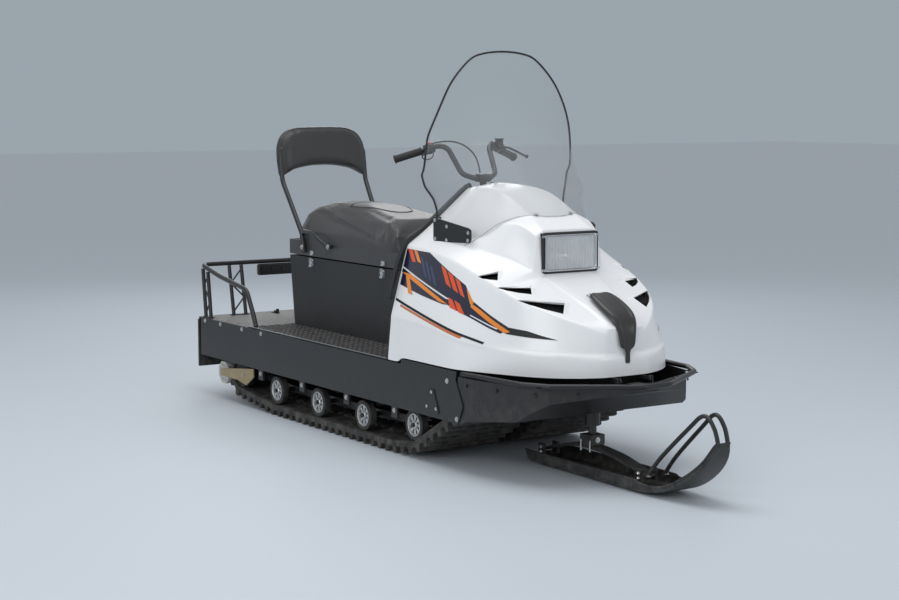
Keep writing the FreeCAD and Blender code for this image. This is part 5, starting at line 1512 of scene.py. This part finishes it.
# a soft black bead seals the hood's rear edge
bead_half = [Vector((0.1335, y, z + 0.007)) for y, z in [
    (0.441, 0.620), (0.436, 0.650), (0.405, 0.755), (0.363, 0.846), (0.328, 0.872),
    (0.290, 0.895), (0.245, 0.928), (0.200, 0.962), (0.135, 1.013), (0.078, 1.057), (0.052, 1.068)]]
bead = finish("edge_bead_rubber", (0.010, 0.010, 0.011), 0.5, grain=500, depth=0.25)
bead_lines = [smooth_line(bead_half, steps=6),
              smooth_line([Vector((p.x, -p.y, p.z)) for p in bead_half], steps=6)]
tubes("hood_edge_bead", bead_lines, 0.0125, bead, "hood", "black_rubber", sides=5)

# ---------------------------------------------------------------- dash
# A moulded black cap closes the rear of the engine bay. It carries a speedometer, a fuel gauge,
# three warning lamps, the key switch and the choke.
dash_plastic = finish("dash_moulded_plastic", (0.016, 0.016, 0.017), 0.55, grain=800, pebble=0.7,
    depth=0.4, bare=(0.06, 0.06, 0.06), grit=0.08, grit_top=0.9)
paint_nodes(dash_plastic, "dash_panel")
dash_skin = skin_tree(nodes["dash_panel"])


def on_dash(y, z):
    spot, normal, _, _ = dash_skin.ray_cast(Vector((-0.4, y, z)), Vector((1, 0, 0)))
    return spot, (normal if normal.x < 0 else -normal)


def facing_turn(way):
    return Vector(way).to_track_quat("Z", "Y").to_matrix()


gauge_face, gauge_mark, gauge_red = [
    finish(name, colour, rough, grain=grain, depth=depth, scuffs=0.0)
    for name, colour, rough, grain, depth in (
        ("gauge_face", (0.012, 0.012, 0.013), 0.5, 1500, 0.05),
        ("gauge_marks", (0.75, 0.76, 0.74), 0.5, 900, 0.02),
        ("gauge_needle", (0.70, 0.05, 0.02), 0.4, 900, 0.02))]
gauge_rims, gauge_faces, marks, needles = bmesh.new(), bmesh.new(), bmesh.new(), bmesh.new()


def placed(shape, part, spot, way):
    """Adds a small bmesh, built facing up, to another with its top facing a way."""
    bmesh.ops.rotate(part, cent=(0, 0, 0), matrix=facing_turn(way), verts=part.verts)
    bmesh.ops.translate(part, vec=spot, verts=part.verts)
    joined(shape, part)


for y, z, radius, ticks in ((0.0, 0.905, 0.046, 25), (-0.118, 0.880, 0.027, 9),
        (0.118, 0.880, 0.027, 13)):
    spot, way = on_dash(y, z)
    ring = bmesh.new()
    turned(ring, [(radius * 0.86, 0.0), (radius, 0.0), (radius, 0.006), (radius * 0.95, 0.009),
                  (radius * 0.88, 0.008), (radius * 0.86, 0.003)], 40)
    placed(gauge_rims, ring, spot, way)
    disc = bmesh.new()
    turned(disc, [(0.0001, 0.0005), (radius * 0.87, 0.0005), (radius * 0.87, 0.0022),
                  (0.0001, 0.0030)], 40)
    placed(gauge_faces, disc, spot, way)
    scale = bmesh.new()
    for tick in range(ticks):
        turn = math.radians(225 - 270 * tick / (ticks - 1))
        long, wide = (0.13, 0.030) if tick % 4 == 0 else (0.08, 0.018)
        add_block(scale, (radius * long, radius * wide, 0.0004),
                  (math.cos(turn) * radius * 0.72, math.sin(turn) * radius * 0.72, 0.0030),
                  turn=Matrix.Rotation(turn, 3, "Z"))
    placed(marks, scale, spot, way)
    hand = bmesh.new()
    add_block(hand, (radius * 0.62, radius * 0.045, 0.0006), (radius * 0.24, 0, 0.0042), 0.0002)
    bmesh.ops.rotate(hand, cent=(0, 0, 0), matrix=Matrix.Rotation(math.radians(215), 3, "Z"),
                     verts=hand.verts)
    turned(hand, [(0.0001, 0.003), (radius * 0.10, 0.003), (radius * 0.09, 0.0056),
                  (0.0001, 0.006)], 20)
    placed(needles, hand, spot, way)
for name, shape, material in (
        ("gauge_rims", gauge_rims, lamp_bright), ("gauge_faces", gauge_faces, gauge_face),
        ("gauge_marks", marks, gauge_mark), ("gauge_needles", needles, gauge_red)):
    finished(name, shape, material, "chassis")
for number, y, colour in ((1, -0.016, (0.60, 0.03, 0.02)), (2, 0.0, (0.60, 0.30, 0.02)),
        (3, 0.016, (0.03, 0.35, 0.06))):
    dome, pilot = bmesh.new(), bmesh.new()
    turned(dome, [(0.0001, 0.0), (0.0050, 0.0), (0.0050, 0.0016), (0.0038, 0.0034),
                  (0.0001, 0.0042)], 20)
    placed(pilot, dome, *on_dash(y, 0.842))
    finished("pilot_lamp_%d" % number, pilot, lens_plastic("pilot_lens_%d" % number, colour),
             "chassis")
switches = bmesh.new()
barrel = bmesh.new()
turned(barrel, [(0.0001, 0.0), (0.0140, 0.0), (0.0140, 0.004), (0.0105, 0.006), (0.0105, 0.012),
                (0.0001, 0.012)], 24)
add_block(barrel, (0.0022, 0.018, 0.022), (0, 0, 0.021), 0.0006)
placed(switches, barrel, *on_dash(-0.210, 0.830))
knob = bmesh.new()
turned(knob, [(0.0001, 0.0), (0.0100, 0.0), (0.0100, 0.003), (0.0040, 0.004), (0.0040, 0.020),
              (0.0120, 0.024), (0.0125, 0.032), (0.0095, 0.036), (0.0001, 0.0365)], 24)
placed(switches, knob, *on_dash(0.210, 0.830))
finished("key_and_choke", switches, lamp_bright, "chassis")
dash_screws = [on_dash(side * y, z) for side in (-1, 1)
               for y, z in ((0.300, 0.820), (0.365, 0.640), (0.330, 0.480))]
bolts("dash_screws", dash_screws, "chassis", 0.0045, 0.0025, 0.007)

# ---------------------------------------------------------------- handlebar and controls
# A bent tube in a bolted clamp, with ribbed rubber grips. The right hand has the thumb throttle
# and a red stop switch, the left a brake lever on its reservoir perch.
bar_paint = finish("handlebar_coat", (0.018, 0.019, 0.020), 0.34, grain=900, bare=(0.18, 0.18, 0.18),
    grit=0.03, grit_top=1.0)
paint_nodes(bar_paint, "handlebar")
paint_nodes(black_steel, "steering_shaft")
clamp = bmesh.new()
add_block(clamp, (0.0365, 0.0585, 0.0150), (0.150, 0, 1.0978), 0.0025)
add_block(clamp, (0.0365, 0.0585, 0.0150), (0.150, 0, 1.1142), 0.0035)
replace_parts(finished("bar_clamp", clamp, black_steel, "steering"), "steering_column")
bolts("bar_clamp_bolts", [((0.150 + dx, dy, 1.1214), (0, 0, 1)) for dx in (-0.0125, 0.0125)
    for dy in (-0.021, 0.021)], "steering", 0.0045, 0.004, 0.0062)
grip_ends = {side: (Vector((-0.056, side * 0.301, 1.181)), Vector((0.030, side * 0.106, 1.246)))
             for side in (-1, 1)}


def on_bar(side, share, ahead=0.0, above=0.0):
    """A point by the bar's end run: 0 at its end, 1 at its bend, moved forwards or upwards."""
    a, b = grip_ends[side]
    way = (b - a).normalized()
    rise = (Vector((0, 0, 1)) - way * way.z).normalized()
    front = way.cross(rise)
    if front.x < 0:
        front = -front
    return a.lerp(b, share) + front * ahead + rise * above


def sleeve(shape, side, start, profile, steps=32):
    """A ring turned about the bar's end run: profile of (radius, distance from a share)."""
    a, b = grip_ends[side]
    part = bmesh.new()
    turned(part, profile, steps)
    placed(shape, part, a.lerp(b, start), b - a)


grip_rubber = finish("grip_rubber", (0.016, 0.016, 0.016), 0.62, pebble=0.7, depth=0.35, scuffs=0.2,
    bare=(0.05, 0.05, 0.05), grit=0.0)
grips = bmesh.new()
for side in (-1, 1):
    profile = [(0.0118, 0.0), (0.0175, 0.0), (0.0185, 0.0025), (0.0175, 0.0060), (0.0150, 0.0080)]
    place_along = 0.0125
    while place_along < 0.108:
        profile += [(0.0150, place_along - 0.0012), (0.0158, place_along), (0.0158, place_along + 0.0026),
                    (0.0150, place_along + 0.0038)]
        place_along += 0.0064
    profile += [(0.0152, 0.112), (0.0178, 0.1145), (0.0178, 0.1175), (0.0120, 0.1180)]
    sleeve(grips, side, 0.0, profile)
    end_cap = bmesh.new()
    turned(end_cap, [(0.0001, -0.0015), (0.0100, -0.0015), (0.0118, 0.0005), (0.0118, 0.004),
                     (0.0001, 0.004)], 24)
    a, b = grip_ends[side]
    placed(grips, end_cap, a, b - a)
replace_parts(finished("ribbed_grips", grips, grip_rubber, "steering"),
            "handlebar_grips")
control_plastic = finish("control_plastic", (0.014, 0.014, 0.015), 0.42, pebble=0.6, depth=0.3,
    scuffs=0.25, bare=(0.06, 0.06, 0.06), grit=0.0)
throttle = bmesh.new()
sleeve(throttle, -1, 0.585, [(0.0115, 0.0), (0.0190, 0.0), (0.0212, 0.003), (0.0212, 0.017),
    (0.0200, 0.018), (0.0200, 0.0195), (0.0212, 0.0205), (0.0212, 0.040), (0.0190, 0.043),
    (0.0115, 0.043)])
add_block(throttle, (0.030, 0.034, 0.026), on_bar(-1, 0.68, 0.016, -0.004), 0.005,
          facing_turn(grip_ends[-1][1] - grip_ends[-1][0]))
ring_middle = on_bar(-1, 0.600, 0.030, -0.022)
ring_way = (grip_ends[-1][1] - grip_ends[-1][0]).normalized()
ring_rise = (Vector((0, 0, 1)) - ring_way * ring_way.z).normalized()
thumb_ring = [ring_middle + ring_way * 0.024 * math.cos(math.tau * i / 28)
              + ring_rise * 0.017 * math.sin(math.tau * i / 28) for i in range(28)]
throttle.from_mesh(tube_mesh("thumb_ring", [thumb_ring], 0.0024, closed=True))
throttle.from_mesh(tube_mesh("thumb_arm", [[on_bar(-1, 0.66, 0.020, -0.010),
    on_bar(-1, 0.60, 0.032, -0.010), on_bar(-1, 0.50, 0.036, -0.016)]], 0.0036))
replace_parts(finished("throttle_housing", throttle, control_plastic, "steering"),
            "throttle_control")
stop = bmesh.new()
turned(stop, [(0.0001, 0.0), (0.0075, 0.0), (0.0075, 0.004), (0.0062, 0.0065), (0.0001, 0.0072)], 24)
stop_piece = bmesh.new()
placed(stop_piece, stop, on_bar(-1, 0.70, 0.004, 0.0200), on_bar(-1, 0.70, 0.0, 1.0) - on_bar(-1, 0.70))
finished("stop_button", stop_piece, lens_plastic("stop_button_red", (0.55, 0.02, 0.02)), "steering")
brake = bmesh.new()
sleeve(brake, 1, 0.600, [(0.0115, 0.0), (0.0170, 0.0), (0.0182, 0.002), (0.0182, 0.031),
    (0.0170, 0.034), (0.0115, 0.034)])
add_block(brake, (0.026, 0.030, 0.026), on_bar(1, 0.68, 0.022, 0.002), 0.004,
          facing_turn(grip_ends[1][1] - grip_ends[1][0]))
add_block(brake, (0.034, 0.024, 0.030), (0.040, 0.158, 1.2450), 0.004)
add_block(brake, (0.037, 0.027, 0.006), (0.040, 0.158, 1.2620), 0.0022)
brake.from_mesh(tube_mesh("lever_blade", [smooth_line([
    (0.0180, 0.166, 1.2250), (0.0420, 0.172, 1.2262), (0.0645, 0.182, 1.2270), (0.0640, 0.220, 1.2140),
    (0.0570, 0.262, 1.1980), (0.0505, 0.288, 1.1885)])], 0.0046, sides=4))
ball = bmesh.new()
turned(ball, [(0.0001, -0.0082), (0.0045, -0.0070), (0.0075, -0.0034), (0.0082, 0.0),
              (0.0075, 0.0034), (0.0045, 0.0070), (0.0001, 0.0082)], 20)
placed(brake, ball, Vector((0.0505, 0.294, 1.187)), (0, 1, 0))
sleeve(brake, 1, 0.790, [(0.0113, 0.0), (0.0158, 0.0), (0.0165, 0.002), (0.0165, 0.014),
    (0.0158, 0.016), (0.0113, 0.016)])
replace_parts(finished("brake_perch_and_lever", brake, control_plastic, "steering"),
            "brake_control")
bolts("reservoir_screws", [((0.040 + dx, 0.158, 1.2652), (0, 0, 1)) for dx in (-0.011, 0.011)],
      "steering", 0.0026, 0.001, 0.0036)
bolts("lever_pivot_bolt", [((0.0420, 0.172, 1.2310), (0, 0, 1))], "steering",
      0.0042, 0.003, 0.006)

# the throttle's cable runs in one easy bow from its housing to the clamp
cable_jacket = finish("cable_jacket", (0.010, 0.010, 0.011), 0.35, grain=900, depth=0.2, scuffs=0.2)
cable_points = [(0.008, -0.152, 1.248), (0.044, -0.112, 1.260), (0.092, -0.066, 1.248),
                (0.128, -0.036, 1.214), (0.150, -0.022, 1.172), (0.158, -0.018, 1.122)]
cable_curve = round_line("throttle_cable_line", 0.0032)
cable_spline = add_spline(cable_curve, "NURBS", cable_points)
cable_spline.order_u = 3
cable_spline.use_endpoint_u = True
cable_spline.resolution_u = 12
cable_curve.materials.append(cable_jacket)
cable_piece = link_object("throttle_cable_line", cable_curve)
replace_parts(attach(cable_piece, "steering"), "throttle_cable")

# ---------------------------------------------------------------- ski
# A pressed steel runner with turned-up flanges and a rolled toe, under a leaf spring on shackles.
# It is coated black and worn bright along its keel, with a lifting loop of two bent rods.
ski_coat = finish("ski_coat", (0.017, 0.018, 0.018), 0.38, grain=800, depth=0.25, scuffs=0.7,
    bare=(0.14, 0.135, 0.13), grit=0.35, grit_top=0.25)
spring_steel = finish("spring_steel", (0.050, 0.051, 0.053), 0.42, metal=0.6, grain=500, depth=0.3,
    scuffs=0.6, bare=(0.22, 0.18, 0.15), grit=0.3, grit_top=0.3)
keel_steel = finish("keel_steel", (0.42, 0.42, 0.42), 0.30, metal=1.0, grain=400, depth=0.2, scuffs=0.8,
    bare=(0.20, 0.13, 0.09), grit=0.2, grit_top=0.1)
paint_nodes(keel_steel, "ski_keel")
paint_nodes(ski_coat, "ski_shackles", "ski_spindle")
hoop_half = [(1.277, 0.040, 0.050), (1.350, 0.038, 0.136), (1.505, 0.031, 0.276), (1.556, 0.027, 0.318),
    (1.590, 0.025, 0.318), (1.620, 0.024, 0.286), (1.635, 0.023, 0.252), (1.642, 0.022, 0.222)]
hoops = [smooth_line([Vector((x, side * y, z)) for x, y, z in hoop_half], steps=8)
         for side in (-1, 1)]
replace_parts(tubes("ski_lifting_hoops", hoops, 0.008, ski_coat, "ski", "black_steel"), "ski_loop")
# the runner's stations: x, sole height, sheet edge's half width, flange height
ski_rows = [(0.568, 0.026, 0.074, 0.020), (0.580, 0.014, 0.082, 0.036), (0.602, 0.006, 0.090, 0.046),
    (0.640, 0.0042, 0.094, 0.046), (0.900, 0.0042, 0.0945, 0.046), (1.255, 0.0042, 0.0945, 0.046),
    (1.290, 0.0046, 0.0945, 0.040), (1.377, 0.013, 0.088, 0.026), (1.453, 0.038, 0.080, 0.022),
    (1.523, 0.079, 0.071, 0.020), (1.575, 0.119, 0.062, 0.018), (1.612, 0.158, 0.053, 0.016),
    (1.634, 0.195, 0.043, 0.014), (1.644, 0.220, 0.033, 0.012), (1.648, 0.233, 0.026, 0.008)]
runner = bmesh.new()
runner_rings = []
for i, (x, z, half, flange) in enumerate(ski_rows):
    x0, z0 = ski_rows[max(i - 1, 0)][:2]
    x1, z1 = ski_rows[min(i + 1, len(ski_rows) - 1)][:2]
    way = Vector((x1 - x0, 0, z1 - z0)).normalized() if i else Vector((1, 0, 0))
    up = Vector((-way.z, 0, way.x))
    spot = Vector((x, 0, z))
    ring = []
    for side, lift in ((-1, 1), (-1, 0.55), (-0.985, 0.16), (-0.93, 0.02), (-0.80, 0), (-0.40, 0.0),
            (-0.16, 0.0), (-0.12, -0.05), (0.12, -0.05), (0.16, 0.0), (0.40, 0.0), (0.80, 0),
            (0.93, 0.02), (0.985, 0.16), (1, 0.55), (1, 1)):
        ring.append(spot + Vector((0, side * half, 0)) + up * (flange * max(lift, 0) + 0.0002))
    runner_rings.append(ring)
made = [[runner.verts.new(p) for p in ring] for ring in runner_rings]
for low, high in zip(made, made[1:]):
    for i in range(len(low) - 1):
        runner.faces.new((low[i], low[i + 1], high[i + 1], high[i]))
outward(runner)
if sum(f.normal.z for f in runner.faces) < 0:
    bmesh.ops.reverse_faces(runner, faces=runner.faces[:])
ski_runner = finished("ski_runner_pressing", runner, ski_coat, None)
worked(ski_runner, "SUBSURF", levels=2, render_levels=2)
worked(ski_runner, "SOLIDIFY", thickness=0.005, offset=1)
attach(smoothed(ski_runner, 40), "ski")
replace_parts(ski_runner, "ski_runner")
flange_lines = [smooth_line([ring[side] for ring in runner_rings], steps=6) for side in (0, -1)]
flange_lines.append(runner_rings[-1][:])
tubes("ski_rolled_edge", flange_lines, 0.0042, ski_coat, "ski", "black_steel")
# two spring leaves, the lower one shorter, held down by two U-bolts
leaves = bmesh.new()
leaf_top = [(0.612, 0.050), (0.660, 0.071), (0.740, 0.091), (0.800, 0.103), (0.862, 0.1105),
            (0.938, 0.1105), (1.010, 0.104), (1.080, 0.0945), (1.160, 0.075), (1.252, 0.050)]
for number, (first, final, drop) in enumerate(((0, 10, 0.0), (1, 9, -0.0065))):
    line = smooth_line([(x, 0, z + drop) for x, z in leaf_top[first:final]], steps=6)
    rings = []
    for i, spot in enumerate(line):
        way = (line[min(i + 1, len(line) - 1)] - line[max(i - 1, 0)]).normalized()
        up = Vector((-way.z, 0, way.x))
        half, thick = 0.0275 - 0.001 * number, 0.0056
        left, right, down = spot + Vector((0, half, 0)), spot + Vector((0, -half, 0)), up * thick
        rings.append([right, left, left - down, right - down])
    rows = lofted(leaves, rings)
    leaves.faces.new(rows[0][::-1])
    leaves.faces.new(rows[-1])
outward(leaves)
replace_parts(finished("ski_spring_leaves", leaves, spring_steel, "ski", sharp=25),
            "ski_spring")
bolt_lines = [[(x, side * y, z) for side, y, z in (
    (-1, 0.0325, 0.088), (-1, 0.0325, 0.128), (-1, 0.0300, 0.1335), (1, 0.0300, 0.1335),
    (1, 0.0325, 0.128), (1, 0.0325, 0.088))] for x in (0.872, 0.928)]
tubes("spring_u_bolts", bolt_lines, 0.004, zinc_bolt, "ski", "zinc_plate")
ski_bolts = [((x, side * 0.040, z), (0, side, 0)) for x in (0.622, 1.226) for side in (-1, 1)
             for z in (0.058, 0.040)]
ski_bolts += [((0.900 + 0.034 * s, 0.0, 0.132), (s, 0, 0)) for s in (-1, 1)]
ski_bolts += [((1.290, s * 0.042, 0.058), (0, 0, 1)) for s in (-1, 1)]
bolts("ski_bolts", ski_bolts, "ski", height=0.006, washer=0.011)
